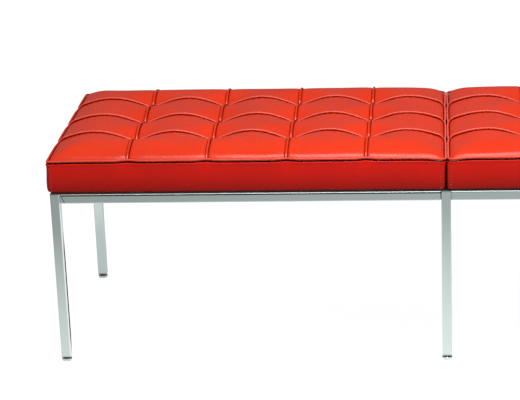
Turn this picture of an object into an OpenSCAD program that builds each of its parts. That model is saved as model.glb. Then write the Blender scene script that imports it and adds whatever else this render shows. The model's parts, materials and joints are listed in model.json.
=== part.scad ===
// Two-seat upholstered bench: a polished square-tube frame on six legs with levelling glides,
// and two leather cushions, each tufted in a grid of welted panels.
// Millimetres. +Z is up, +X runs along the bench, and the front faces -Y.
// The origin is on the floor, under the middle of the bench.

/* [Cushions] */
// Length of one cushion
cushion_l = 763.5; // [600:0.5:900]
// Depth of a cushion, front to back
cushion_d = 479; // [400:1:600]
// Gap between the two cushions
cushion_gap = 3; // [2:0.5:10]
// Radius of a cushion's upright corners
corner_r = 8; // [7:0.5:14]
// Height of the side band, from its lower edge to the piping
boxing_h = 60; // [50:0.5:100]
// Thickness of the leather
leather_t = 1.6; // [1.2:0.1:2.2]
// Radius of the cover's turned-under lower edge
hem_r = 6; // [3:0.5:6.5]
// Width of leather turned under the seat board
hem_w = 52; // [50:1:80]
// Diameter of the piping round the top edge
piping_d = 5; // [3:0.5:6]
// Thickness of the plywood seat board
board_t = 12; // [9:1:18]
// Thickness of the dust cover under the seat
dust_cover_t = 0.8; // [0.5:0.1:1.5]

/* [Tufting] */
// Number of panels along a cushion
panel_cols = 5; // [3:1:7]
// Number of panels across a cushion
panel_rows = 4; // [2:1:5]
// Height of a tuft above the band's top edge
tuft_h = 9; // [6:0.5:14]
// Rise of a lengthwise seam between two tufts
long_arch_h = 15.5; // [6:0.5:22]
// Rise of a crosswise seam between two tufts
short_arch_h = 12; // [4:0.5:18]
// Further rise of a crosswise seam in the rows along the front and back
edge_arch_h = 3; // [0:0.5:6]
// Height by which a panel's middle stays below both rises together
panel_flatten_h = 10; // [2:0.5:12]
// Extra fullness of a panel next to its seams
panel_puff_h = 6; // [0:0.5:8]
// Height of the pad's edge above the band's top edge
pad_edge_h = 3.5; // [2:0.5:6]
// Width of the rolled edge round the pad
pad_roll_w = 50; // [30:1:60]
// Diameter of the welts in the seams
welt_d = 5; // [3:0.2:6]
// Diameter of a tufting tie
tie_d = 1.6; // [1:0.1:2.4]
// Diameter of the button that anchors a tie under the board
tie_button_d = 16; // [10:1:24]
// Thickness of that button
tie_button_t = 1.1; // [0.8:0.1:1.2]

/* [Frame] */
// Width of the square tube
tube_w = 19; // [18:0.5:28]
// Wall of the square tube
tube_wall = 1.5; // [1.2:0.1:2]
// Radius of the tube's polished outer edges
tube_r = 2.5; // [1.6:0.1:3]
// Radius of the corners of the tube's bore
tube_bore_r = 1; // [0.5:0.1:1.5]
// Height of the frame's top above the floor
frame_h = 349; // [250:1:450]
// Distance by which a cushion hangs over the frame's end
end_overhang = 1; // [0:0.5:4]
// Distance by which the frame stands in front of the cushions
front_setback = 2; // [0:0.5:6]
// Joint at each end of a rail
rail_joint_gap = 1.2; // [0.4:0.1:2]
// Joint left where a right rail is pushed up to the middle leg
rail_tight_gap = 0.2; // [0.1:0.1:0.3]
// Length of the top of the stub on an end leg, where the slanted joint starts
rail_stub_land = 1; // [0.5:0.5:3]
// Distance by which the slanted joint runs in from there to the rail's lower face
rail_end_slant = 8.5; // [2:0.5:12]
// Length of the spigot welded to a leg, which carries a rail
spigot_l = 45; // [35:1:70]
// Distance from the leg to the screw that holds a rail on its spigot
rail_screw_inset = 25; // [18:1:28]

/* [Seat fixings] */
// Width of a seat bracket, along the rail
bracket_w = 30; // [22:1:50]
// Reach of a seat bracket, in from the rail
bracket_reach = 24; // [20:0.5:26]
// Length of a seat bracket that lies on the rail
bracket_lap = 9; // [5:0.5:12]
// Radius of a seat bracket's corners
bracket_r = 4; // [1:0.5:8]
// Thickness of a seat bracket, which keeps the cushion clear of the rails
bracket_t = 2.5; // [2:0.5:4]
// Distance from the rail's inner face to the bracket's hole
bracket_hole_inset = 13; // [11:0.5:14]
// Diameter of the screws
screw_d = 6; // [5:0.5:6]
// Diameter of the screws' heads
screw_head_d = 11; // [10:0.5:12]
// Height of the screws' heads
screw_head_h = 3.3; // [2.5:0.1:4]
// Length of a rail screw's shank
rail_screw_l = 12; // [8:1:14]
// Length of a seat screw's shank
seat_screw_l = 15; // [12:0.5:16]
// Diameter of a tee nut's flange
tee_flange_d = 17; // [15:1:20]
// Thickness of a tee nut's flange
tee_flange_t = 1.5; // [1:0.1:2]
// Diameter of a tee nut's barrel
tee_barrel_d = 8; // [7.5:0.5:9]

/* [Levelling glides] */
// Diameter of a glide's foot
foot_d = 20; // [18:0.5:24]
// Height of a glide's foot
foot_h = 6.5; // [6:0.5:10]
// Height of the straight side of a foot
foot_side_h = 4.6; // [4:0.1:5.8]
// Chamfer round the foot's sole
foot_chamfer = 0.8; // [0.4:0.1:1.4]
// Thickness of the foot's sole under the stem's head
foot_sole_t = 2; // [1.5:0.1:2.5]
// Diameter of the stem
stem_d = 8; // [6:0.5:8]
// Length of the stem inside the leg, screwed in
stem_reach = 20; // [16:1:24]
// Diameter of the stem's captive head in the foot
stem_head_d = 11.4; // [10.5:0.1:12]
// Thickness of the stem's captive head
stem_head_t = 1.8; // [1.5:0.1:2.4]
// Width of the stem's hexagon, across its corners
hexagon_w = 13.5; // [11:0.5:15]
// Height of the stem's hexagon
hexagon_h = 3; // [2:0.1:5]
// Thickness of the leg plug's flange
plug_flange_t = 2.4; // [1:0.1:3]
// Length of the leg plug inside the leg
plug_l = 24; // [18:1:40]

/* [Hidden] */
$fn = 48;

// Clearances
fit_gap = 0.3;       // between soft pieces that lie against each other
running_gap = 0.05;  // round a shaft, screw or stem
plug_gap = 0.1;      // round a plug or spigot in its tube
head_gap = 0.1;      // above and below what turns
hole_gap = 0.3;      // round a screw in a plain hole
overrun = 1;         // by which a cut passes its faces

// Colours
chrome_colour = [0.74, 0.78, 0.78];
dark_steel_colour = [0.25, 0.26, 0.28];
nylon_colour = [0.9, 0.9, 0.88];
leather_colour = [0.86, 0.16, 0.09];
band_colour = [0.72, 0.1, 0.07];
plywood_colour = [0.78, 0.62, 0.42];
foam_colour = [0.93, 0.88, 0.7];
twine_colour = [0.85, 0.8, 0.68];
dust_cover_colour = [0.1, 0.1, 0.11];

// Places on the frame
bench_l = 2 * cushion_l + cushion_gap;
frame_l = bench_l - 2 * end_overhang;
frame_d = cushion_d + 2 * front_setback;
leg_x = frame_l / 2 - tube_w / 2;
leg_y = frame_d / 2 - tube_w / 2;
tube_bore = tube_w - 2 * tube_wall;
rail_z = frame_h - tube_w / 2;
rail_l = leg_x - tube_w - rail_stub_land - 2 * rail_joint_gap;
rail_stub_l = rail_stub_land + rail_end_slant;
spigot_w = tube_bore - 2 * plug_gap;
bracket_shares = [0.2, 0.8];
cushion_x = (cushion_l + cushion_gap) / 2;

// Places in a glide, up from the floor
hexagon_z = foot_h + head_gap;
plug_z = hexagon_z + hexagon_h + head_gap;
leg_z = plug_z + plug_flange_t;
stem_head_z = foot_sole_t + head_gap;
stem_top_z = leg_z + stem_reach;
screw_socket_share = 0.42;
screw_crown_share = 0.7;
foot_dome_share = 0.62;
foot_shoulder_share = 0.75;

// Places in a cushion, up from the seat brackets' tops
seat_z = frame_h + bracket_t;
board_z = seat_z + leather_t;
foam_z = board_z + board_t;
pad_z = seat_z + boxing_h;
edge_z = pad_z + pad_edge_h;
tuft_z = pad_z + tuft_h;
pad_inset = piping_d + fit_gap;
pad_l = cushion_l - 2 * pad_inset;
pad_d = cushion_d - 2 * pad_inset;
pad_corner_share = 1 - sqrt(1 / 2);
dust_cover_inset = tube_w + bracket_reach + overrun;
seat_screw_y = frame_d / 2 - tube_w - bracket_hole_inset;
tee_hole_d = tee_barrel_d + 2 * running_gap;

// Shares of a panel at which its surface and its welts are stepped. Those of a panel at the edge
// are counted in from the edge.
panel_step_shares = [0, 0.07, 0.25, 0.5, 0.75, 0.93];
edge_step_shares = [0, 0.08, 0.18, 0.32, 0.5, 0.75, 0.93];
short_welt_step_shares = [0, 0.25, 0.5, 0.75, 1];
edge_welt_step_shares = [0, 0.08, 0.18, 0.32, 0.5, 0.75, 1];
welt_sides = 6;
welt_sink_share = 0.15;

// Powers that shape the tufted surface: the dips of the seams at a tuft, the roll along the edges,
// and the fullness of the corners where two rolls meet
long_dip_power = 1.5;
short_dip_power = 1.3;
roll_power = 2;
corner_power = 4;

// A rectangle with round corners, centred
module round_rect(l, d, r) {
    square([l - 2 * r, d], center = true);
    square([l, d - 2 * r], center = true);
    for (sx = [-1, 1], sy = [-1, 1])
        translate([sx * (l / 2 - r), sy * (d / 2 - r)])
            circle(r);
}

// Square tube standing on z = 0
module square_tube(length) {
    linear_extrude(length)
        difference() {
            round_rect(tube_w, tube_w, tube_r);
            round_rect(tube_bore, tube_bore, tube_bore_r);
        }
}

// Leg from its plug to the frame's top, closed at the top
module leg(x, y) {
    color(chrome_colour)
        translate([x, y, leg_z]) {
            square_tube(frame_h - leg_z);
            translate([0, 0, frame_h - leg_z - tube_wall])
                linear_extrude(tube_wall)
                    round_rect(tube_w, tube_w, tube_r);
        }
}

// Distance from a rail's middle to its screws
function rail_screw_x() = leg_x / 2 - tube_w / 2 - rail_screw_inset;

// Distance from the bench's middle to a rail's inner end
function rail_start(side) = tube_w / 2 + (side < 0 ? rail_joint_gap : rail_tight_gap);

// Distance that the slanted joint has run in at a height above the rail's middle line
function slant_reach(z) = rail_end_slant * (1 / 2 - z / tube_w);

// Calls its children at each rail screw of some sides and rows. They start on the rail's inner
// face, and their +Z points out through the rail.
module at_rail_screws(sides = [-1, 1], rows = [-1, 1]) {
    for (side = sides, row = rows, s = [-1, 1])
        translate([side * leg_x / 2 + s * rail_screw_x(), row * (leg_y - tube_w / 2), rail_z])
            rotate([-90 * row, 0, 0])
                children();
}

// What the slanted joint cuts off, on the outer (1) or the inner (-1) side of its top edge
module beyond_slant(outward) {
    cut_h = tube_w / 2 + overrun;
    rotate([90, 0, 0])
        linear_extrude(tube_w + 2 * overrun, center = true)
            polygon([
                [-slant_reach(cut_h), cut_h],
                [-slant_reach(-cut_h), -cut_h],
                [outward * (rail_end_slant + 2 * overrun), -cut_h],
                [outward * (rail_end_slant + 2 * overrun), cut_h]
            ]);
}

// Rail from the middle leg to the stub on an end leg, with a screw hole in its inner face near
// each end
module rail(side, row) {
    color(chrome_colour)
        difference() {
            translate([side * rail_start(side), row * leg_y, rail_z])
                difference() {
                    rotate([0, side * 90, 0])
                        square_tube(rail_l);
                    translate([side * rail_l, 0, 0])
                        rotate([0, 0, side < 0 ? 180 : 0])
                            beyond_slant(1);
                }
            at_rail_screws([side], [row])
                translate([0, 0, -overrun])
                    cylinder(d = screw_d + 2 * hole_gap, h = tube_wall + 2 * overrun);
        }
}

// Short stubs of rail welded to the end legs, cut to match the rails' slanted ends
module rail_stubs() {
    for (side = [-1, 1], row = [-1, 1])
        color(chrome_colour)
            translate([side * (leg_x - tube_w / 2), row * leg_y, rail_z])
                rotate([0, 0, side < 0 ? 180 : 0])
                    difference() {
                        rotate([0, -90, 0])
                            square_tube(rail_stub_l);
                        translate([-rail_stub_land, 0, 0])
                            beyond_slant(-1);
                    }
}

// Crosswise rail welded between a front and a rear leg
module cross_rail(x) {
    length = 2 * leg_y - tube_w;
    color(chrome_colour)
        translate([x, length / 2, rail_z])
            rotate([90, 0, 0])
                square_tube(length);
}

// Steel blocks welded to the legs, on which the rails slide
module rail_spigots() {
    for (side = [-1, 1], row = [-1, 1], s = [-1, 1])
        color(dark_steel_colour)
            difference() {
                translate([side * leg_x / 2 + s * (leg_x / 2 - tube_w / 2 - spigot_l / 2),
                           row * leg_y, rail_z])
                    rotate([0, 90, 0])
                        linear_extrude(spigot_l, center = true)
                            round_rect(spigot_w, spigot_w, tube_bore_r);
                at_rail_screws([side], [row])
                    cylinder(d = screw_d + 2 * running_gap, h = rail_screw_l + overrun);
            }
}

// Button-head screw: the head's seat is at z = 0 and the shank points up
module screw(shank_l) {
    color(dark_steel_colour) {
        cylinder(d = screw_d, h = shank_l);
        translate([0, 0, -screw_head_h])
            difference() {
                rotate_extrude()
                    screw_head_outline();
                translate([0, 0, -overrun])
                    cylinder(d = screw_socket_share * screw_head_d,
                             h = screw_head_h / 2 + overrun, $fn = 6);
            }
    }
}

// Half of a button head's outline, crowned towards z = 0
module screw_head_outline() {
    r = screw_head_d / 2;
    polygon([
        [0, 0],
        [screw_crown_share * r, 0],
        [r, screw_head_h / 2],
        [r, screw_head_h],
        [0, screw_head_h]
    ]);
}

// Screws that go through the rails' inner faces into the spigots
module rail_screws() {
    at_rail_screws()
        screw(rail_screw_l);
}

// Distances of the seat brackets from the bench's middle
function bracket_xs() = [
    for (side = [-1, 1], share = bracket_shares)
        side * tee_nut_x(share)
];

// Steel tabs welded on the rails, which carry the cushions
module seat_brackets() {
    bracket_l = bracket_lap + bracket_reach;
    for (x = bracket_xs(), s = [-1, 1])
        color(chrome_colour)
            difference() {
                translate([x, s * (leg_y - tube_w / 2 + bracket_lap - bracket_l / 2), frame_h])
                    linear_extrude(bracket_t)
                        round_rect(bracket_w, bracket_l, bracket_r);
                translate([x, s * seat_screw_y, frame_h - overrun])
                    cylinder(d = screw_d + 2 * hole_gap, h = bracket_t + 2 * overrun);
            }
}

// Screws that go up through the brackets into the tee nuts
module seat_screws() {
    for (x = bracket_xs(), s = [-1, 1])
        translate([x, s * seat_screw_y, frame_h])
            screw(seat_screw_l);
}

// Plug in a leg's lower end, with the bore for the stem
module leg_plugs() {
    for (x = [-leg_x, 0, leg_x], y = [-leg_y, leg_y])
        color(nylon_colour)
            translate([x, y, plug_z])
                difference() {
                    union() {
                        linear_extrude(plug_flange_t)
                            round_rect(tube_w, tube_w, tube_r);
                        linear_extrude(plug_flange_t + plug_l)
                            round_rect(spigot_w, spigot_w, tube_bore_r);
                    }
                    translate([0, 0, -overrun])
                        cylinder(d = stem_d + 2 * running_gap,
                                 h = plug_flange_t + plug_l + 2 * overrun);
                }
}

// Foot of a glide: a capped disc that holds the stem's head captive
module glide_foot(x, y) {
    r = foot_d / 2;
    head_room = stem_head_t + 2 * head_gap;
    color(chrome_colour)
        translate([x, y, 0])
            difference() {
                rotate_extrude()
                    polygon([
                        [0, 0],
                        [r - foot_chamfer, 0],
                        [r, foot_chamfer],
                        [r, foot_side_h],
                        [(r + foot_dome_share * r) / 2,
                         foot_side_h + foot_shoulder_share * (foot_h - foot_side_h)],
                        [foot_dome_share * r, foot_h],
                        [0, foot_h]
                    ]);
                translate([0, 0, foot_sole_t])
                    cylinder(d = stem_head_d + 2 * running_gap, h = head_room);
                translate([0, 0, foot_sole_t])
                    cylinder(d = stem_d + 2 * running_gap, h = foot_h);
            }
}

// Stem of a glide: a captive head, a hexagon for the spanner and the shank in the plug
module glide_stem(x, y) {
    color(dark_steel_colour)
        translate([x, y, 0]) {
            translate([0, 0, stem_head_z])
                cylinder(d = stem_head_d, h = stem_head_t);
            translate([0, 0, stem_head_z])
                cylinder(d = stem_d, h = stem_top_z - stem_head_z);
            translate([0, 0, hexagon_z])
                cylinder(d = hexagon_w, h = hexagon_h, $fn = 6);
        }
}

// Calls its children at the tee nuts of the left (-1) or right (1) cushion
module at_tee_nuts(side) {
    for (share = bracket_shares, s = [-1, 1])
        translate([side * tee_nut_x(share), s * seat_screw_y, 0])
            children();
}

// Place of a tee nut along the right cushion, measured from the bench's middle
function tee_nut_x(share) = tube_w / 2 + share * (leg_x - tube_w);

// Places of the tufts on a cushion, measured from its middle
function tuft_places() = [
    for (i = [1 : panel_cols - 1], j = [1 : panel_rows - 1])
        [(i / panel_cols - 1 / 2) * cushion_l, (j / panel_rows - 1 / 2) * cushion_d]
];

// Moves a piece of the left (-1) or right (1) cushion from the cushion's own middle
module on_side(side) {
    translate([side * cushion_x, 0, 0])
        children();
}

// The same cuts at every tuft
module at_tufts(z) {
    for (p = tuft_places())
        translate([p[0], p[1], z])
            children();
}

// Plywood board, rebated for the cover's round lower edge and bored for ties and tee nuts
module seat_board(side) {
    rebate_h = hem_r - leather_t;
    rebate_l = cushion_l - 2 * hem_r;
    rebate_d = cushion_d - 2 * hem_r;
    board_l = cushion_l - 2 * leather_t;
    board_d = cushion_d - 2 * leather_t;
    color(plywood_colour)
        difference() {
            on_side(side)
                translate([0, 0, board_z]) {
                    linear_extrude(board_t)
                        round_rect(rebate_l, rebate_d, corner_r - hem_r);
                    translate([0, 0, rebate_h])
                        linear_extrude(board_t - rebate_h)
                            round_rect(board_l, board_d, corner_r - leather_t);
                }
            on_side(side)
                at_tufts(board_z - overrun)
                    cylinder(d = tie_d + 2 * hole_gap, h = board_t + 2 * overrun);
            at_tee_nuts(side) {
                translate([0, 0, board_z - overrun])
                    cylinder(d = tee_hole_d, h = board_t + 2 * overrun);
                translate([0, 0, foam_z - tee_flange_t])
                    cylinder(d = tee_flange_d + 2 * running_gap, h = tee_flange_t + overrun);
            }
        }
}

// Tee nuts let into the board from above
module tee_nuts(side) {
    color(dark_steel_colour)
        at_tee_nuts(side)
            difference() {
                union() {
                    translate([0, 0, board_z])
                        cylinder(d = tee_barrel_d, h = board_t);
                    translate([0, 0, foam_z - tee_flange_t])
                        cylinder(d = tee_flange_d, h = tee_flange_t);
                }
                translate([0, 0, board_z - overrun])
                    cylinder(d = screw_d + 2 * running_gap, h = board_t + 2 * overrun);
            }
}

// Firm foam slab between the board and the tufted pad
module foam_core(side) {
    color(foam_colour)
        on_side(side)
            difference() {
                translate([0, 0, foam_z])
                    linear_extrude(pad_z - foam_z)
                        round_rect(cushion_l - 2 * (leather_t + fit_gap),
                                   cushion_d - 2 * (leather_t + fit_gap),
                                   corner_r - leather_t - fit_gap);
                at_tufts(foam_z - overrun)
                    cylinder(d = tie_d + 2 * hole_gap, h = pad_z - foam_z + 2 * overrun);
            }
}

// Twine ties from the pad's underside to the buttons under the board
module tufting_ties(side) {
    color(twine_colour)
        on_side(side)
            at_tufts(board_z)
                cylinder(d = tie_d, h = pad_z - board_z);
}

// Buttons that the ties are knotted to
module tie_buttons(side) {
    color(plywood_colour)
        on_side(side)
            at_tufts(board_z - tie_button_t)
                cylinder(d = tie_button_d, h = tie_button_t);
}

// Black cloth over the underside, just over the hem's inner edge
module dust_cover(side) {
    color(dust_cover_colour)
        on_side(side)
            translate([0, 0, seat_z - dust_cover_t])
                linear_extrude(dust_cover_t)
                    square([cushion_l - 2 * dust_cover_inset, cushion_d - 2 * dust_cover_inset],
                           center = true);
}

// Sweeps its child, a profile in x out and y up, round a cushion's outline.
// The profile's x is measured out from the centre of the corner's arc.
module round_cushion() {
    straight_l = cushion_l - 2 * corner_r;
    straight_d = cushion_d - 2 * corner_r;
    for (quarter = [0 : 3]) {
        run = quarter % 2 == 0 ? straight_d : straight_l;
        out = quarter % 2 == 0 ? straight_l : straight_d;
        rotate([0, 0, 90 * quarter]) {
            translate([out / 2, run / 2, 0]) {
                rotate([90, 0, 0])
                    linear_extrude(run)
                        children();
                rotate_extrude(angle = 90)
                    children();
            }
        }
    }
}

// Leather band round the cushion, turned under the board as a hem
module boxing(side) {
    color(band_colour)
        on_side(side)
            translate([0, 0, seat_z]) {
                round_cushion()
                    band_profile();
                difference() {
                    linear_extrude(leather_t)
                        difference() {
                            round_rect(cushion_l - 2 * hem_r, cushion_d - 2 * hem_r,
                                       corner_r - hem_r);
                            square([cushion_l - 2 * hem_w, cushion_d - 2 * hem_w], center = true);
                        }
                    translate([-side * cushion_x, 0, -overrun])
                        at_tee_nuts(side)
                            cylinder(d = screw_d + 2 * hole_gap, h = leather_t + 2 * overrun);
                }
            }
}

// Cut through the band: an upright strip with a quarter turn at its foot
module band_profile() {
    translate([corner_r - leather_t, hem_r])
        square([leather_t, boxing_h - hem_r]);
    translate([corner_r - hem_r, hem_r])
        intersection() {
            difference() {
                circle(hem_r);
                circle(hem_r - leather_t);
            }
            translate([0, -hem_r])
                square(hem_r);
        }
}

// Piping sewn along the top edge of the band
module top_piping(side) {
    color(leather_colour)
        on_side(side)
            translate([0, 0, pad_z + piping_d / 2])
                round_cushion()
                    translate([corner_r - piping_d / 2, 0])
                        circle(piping_d / 2, $fn = 24);
}

// Steps along a cushion's side, as [panel number, share of that panel]
function panel_steps(count) = [
    each [for (s = edge_step_shares) [0, s]],
    each [for (i = [1 : 1 : count - 2], s = panel_step_shares) [i, s]],
    [count - 1, 0],
    each [for (k = [len(edge_step_shares) - 1 : -1 : 0]) [count - 1, 1 - edge_step_shares[k]]]
];

// Place of a step, kept inside the pad
function step_place(step, count, side_l, pad_side_l) =
    let (at = ((step[0] + step[1]) / count - 1 / 2) * side_l)
    max(-pad_side_l / 2, min(pad_side_l / 2, at));

// Rise of a seam between two tufts, from 0 to 1. It stays full towards the cushion's edge.
function arch(step, count, power) =
    (step[0] == 0 && step[1] < 1 / 2) || (step[0] == count - 1 && step[1] > 1 / 2)
        ? 1
        : pow(4 * step[1] * (1 - step[1]), power);

// 1 in the panels along an edge and 0 elsewhere
function outer_row(step, count) =
    (step[0] == 0 && step[1] < 1) || (step[0] == count - 1 && step[1] > 0) ? 1 : 0;

// Share of its height that the surface loses to the roll at a distance in from the pad's edge
function roll(distance) = pow(max(0, 1 - max(0, distance) / pad_roll_w), roll_power);

// Share that is left where the rolls of two edges meet
function rolled(x, y) =
    let (end = roll(pad_l / 2 - abs(x)),
         side = roll(pad_d / 2 - abs(y)))
    max(0, 1 - pow(pow(end, corner_power) + pow(side, corner_power), 1 / corner_power));

// Height of the tufted surface at a step along and a step across the cushion
function surface_z(along, across) =
    let (a = arch(along, panel_cols, long_dip_power),
         b = arch(across, panel_rows, short_dip_power),
         full = tuft_z + long_arch_h * a + short_arch_h * b - panel_flatten_h * a * b
                + edge_arch_h * outer_row(across, panel_rows) * b * (1 - a)
                + panel_puff_h * (sqrt(a * b) - a * b))
    edge_z + (full - edge_z) * rolled(step_place(along, panel_cols, cushion_l, pad_l),
                                      step_place(across, panel_rows, cushion_d, pad_d));

// Point of the tufted surface. The four corners are drawn in to clear the piping.
function surface_point(along, across) =
    let (x = step_place(along, panel_cols, cushion_l, pad_l),
         y = step_place(across, panel_rows, cushion_d, pad_d),
         is_corner = abs(x) == pad_l / 2 && abs(y) == pad_d / 2,
         drawn_in = is_corner ? corner_r * pad_corner_share : 0)
    [x - sign(x) * drawn_in, y - sign(y) * drawn_in, surface_z(along, across)];

// Crowned pad of welted panels, drawn down at each tuft and flat underneath
module tufted_pad(side) {
    alongs = panel_steps(panel_cols);
    acrosses = panel_steps(panel_rows);
    nx = len(alongs);
    ny = len(acrosses);
    top = [for (b = acrosses, a = alongs) surface_point(a, b)];
    // Grid numbers of the points round the edge, anticlockwise from the front left
    rim = [
        each [for (i = [0 : nx - 2]) i],
        each [for (j = [0 : ny - 2]) j * nx + nx - 1],
        each [for (i = [nx - 1 : -1 : 1]) (ny - 1) * nx + i],
        each [for (j = [ny - 1 : -1 : 1]) j * nx]
    ];
    nr = len(rim);
    base = [for (k = rim) [top[k][0], top[k][1], pad_z]];
    first_base = len(top);
    centre = first_base + nr;
    // Faces of the crowned surface, the edge and the flat underside
    crown = [
        for (j = [0 : ny - 2], i = [0 : nx - 2])
            let (k = j * nx + i)
            each [[k, k + nx + 1, k + 1], [k, k + nx, k + nx + 1]]
    ];
    edge = [
        for (m = [0 : nr - 1])
            let (n = (m + 1) % nr)
            each [
                [rim[m], rim[n], first_base + m],
                [rim[n], first_base + n, first_base + m]
            ]
    ];
    underside = [for (m = [0 : nr - 1]) [first_base + m, first_base + (m + 1) % nr, centre]];
    color(leather_colour)
        on_side(side)
            polyhedron(points = concat(top, base, [[0, 0, pad_z]]),
                       faces = concat(crown, edge, underside));
}

// Tube through a line of points that lies in one upright plane, square to level. Its ends are
// upright.
module cord_through(points, level, d) {
    n = len(points);
    rings = [
        for (k = [0 : n - 1])
            let (ahead = points[min(k + 1, n - 1)] - points[max(k - 1, 0)],
                 is_end = k == 0 || k == n - 1,
                 run = is_end ? [ahead[0], ahead[1], 0] : ahead,
                 up = cross(run / norm(run), level))
            each [
                for (s = [0 : welt_sides - 1])
                    let (turn = 360 * s / welt_sides)
                    points[k] + d / 2 * (cos(turn) * level + sin(turn) * up)
            ]
    ];
    first = len(rings);
    wall = [
        for (k = [0 : n - 2], s = [0 : welt_sides - 1])
            let (t = (s + 1) % welt_sides, a = k * welt_sides, b = a + welt_sides)
            each [[a + s, b + s, a + t], [a + t, b + s, b + t]]
    ];
    last = (n - 1) * welt_sides;
    ends = [
        for (s = [0 : welt_sides - 1])
            let (t = (s + 1) % welt_sides)
            each [[first, s, t], [first + 1, last + t, last + s]]
    ];
    polyhedron(points = concat(rings, [points[0], points[n - 1]]), faces = concat(wall, ends));
}

// Point of a seam's welt, part sunk into the surface
function welt_point(along, across) =
    [step_place(along, panel_cols, cushion_l, pad_l),
     step_place(across, panel_rows, cushion_d, pad_d),
     surface_z(along, across) + welt_sink_share * welt_d];

// Welts that run the length of the cushion, one on each seam between rows
module long_welts(side) {
    color(leather_colour)
        on_side(side)
            for (j = [1 : panel_rows - 1])
                cord_through([for (a = panel_steps(panel_cols)) welt_point(a, [j, 0])],
                             [0, 1, 0], welt_d);
}

// Steps of a crosswise welt in a row of panels, as shares of that panel
function short_welt_steps(row) =
    row == 0 ? edge_welt_step_shares
    : row == panel_rows - 1
        ? [for (k = [len(edge_welt_step_shares) - 1 : -1 : 0]) 1 - edge_welt_step_shares[k]]
        : short_welt_step_shares;

// Welts that run front to back, cut into one length for each row
module short_welts(side) {
    end_share = (welt_d / 2 + fit_gap) * panel_rows / cushion_d;
    color(leather_colour)
        on_side(side)
            for (i = [1 : panel_cols - 1], j = [0 : panel_rows - 1])
                let (from = j == 0 ? 0 : end_share,
                     to = j == panel_rows - 1 ? 1 : 1 - end_share)
                cord_through([for (s = short_welt_steps(j))
                                  welt_point([i, 0], [j, max(from, min(to, s))])],
                             [-1, 0, 0], welt_d);
}

leg(-leg_x, -leg_y);  // front_left_leg
leg(0, -leg_y);  // front_middle_leg
leg(leg_x, -leg_y);  // front_right_leg
leg(-leg_x, leg_y);  // rear_left_leg
leg(0, leg_y);  // rear_middle_leg
leg(leg_x, leg_y);  // rear_right_leg
rail(-1, -1);  // front_left_rail
rail(1, -1);  // front_right_rail
rail(-1, 1);  // rear_left_rail
rail(1, 1);  // rear_right_rail
cross_rail(-leg_x);  // left_cross_rail
cross_rail(0);  // middle_cross_rail
cross_rail(leg_x);  // right_cross_rail
rail_stubs();
rail_spigots();
rail_screws();
seat_brackets();
seat_screws();
leg_plugs();
glide_foot(-leg_x, -leg_y);  // front_left_glide_foot
glide_foot(0, -leg_y);  // front_middle_glide_foot
glide_foot(leg_x, -leg_y);  // front_right_glide_foot
glide_foot(-leg_x, leg_y);  // rear_left_glide_foot
glide_foot(0, leg_y);  // rear_middle_glide_foot
glide_foot(leg_x, leg_y);  // rear_right_glide_foot
glide_stem(-leg_x, -leg_y);  // front_left_glide_stem
glide_stem(0, -leg_y);  // front_middle_glide_stem
glide_stem(leg_x, -leg_y);  // front_right_glide_stem
glide_stem(-leg_x, leg_y);  // rear_left_glide_stem
glide_stem(0, leg_y);  // rear_middle_glide_stem
glide_stem(leg_x, leg_y);  // rear_right_glide_stem
seat_board(-1);  // left_seat_board
seat_board(1);  // right_seat_board
tee_nuts(-1);  // left_tee_nuts
tee_nuts(1);  // right_tee_nuts
foam_core(-1);  // left_foam_core
foam_core(1);  // right_foam_core
tufting_ties(-1);  // left_tufting_ties
tufting_ties(1);  // right_tufting_ties
tie_buttons(-1);  // left_tie_buttons
tie_buttons(1);  // right_tie_buttons
dust_cover(-1);  // left_dust_cover
dust_cover(1);  // right_dust_cover
boxing(-1);  // left_boxing
boxing(1);  // right_boxing
top_piping(-1);  // left_top_piping
top_piping(1);  // right_top_piping
tufted_pad(-1);  // left_tufted_pad
tufted_pad(1);  // right_tufted_pad
long_welts(-1);  // left_long_welts
long_welts(1);  // right_long_welts
short_welts(-1);  // left_short_welts
short_welts(1);  // right_short_welts
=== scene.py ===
"""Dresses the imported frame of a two-seat upholstered bench.

One operator sets up the stage and one gives the frame its finishes. Each of the others models one
piece, or a group of like pieces, round the frame's own nodes. The panel in the 3D view's sidebar
lists them in the order in which main() runs them.
Lengths are metres, except in names that end in _MM or _PX. +X runs along the bench, -Y is its
front and +Z is up.
"""

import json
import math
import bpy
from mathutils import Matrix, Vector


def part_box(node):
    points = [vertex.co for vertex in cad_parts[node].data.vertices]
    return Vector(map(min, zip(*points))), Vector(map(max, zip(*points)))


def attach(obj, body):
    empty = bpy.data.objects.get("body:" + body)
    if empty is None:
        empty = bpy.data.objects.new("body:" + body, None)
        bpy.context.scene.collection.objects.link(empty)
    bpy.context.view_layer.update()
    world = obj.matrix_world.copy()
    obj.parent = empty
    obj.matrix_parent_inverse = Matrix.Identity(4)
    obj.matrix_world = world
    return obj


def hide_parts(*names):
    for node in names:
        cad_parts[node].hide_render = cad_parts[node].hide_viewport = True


bl_info = {
    "name": "Two-seat upholstered bench",
    "version": (1, 0, 0),
    "blender": (4, 5, 0),
    "location": "3D View > Sidebar > Bench",
    "description": "Tufted leather cushions and polished fittings round a packed bench frame",
    "category": "Object",
}

import bpy
import numpy as np
from mathutils import Matrix, Vector, noise

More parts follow.
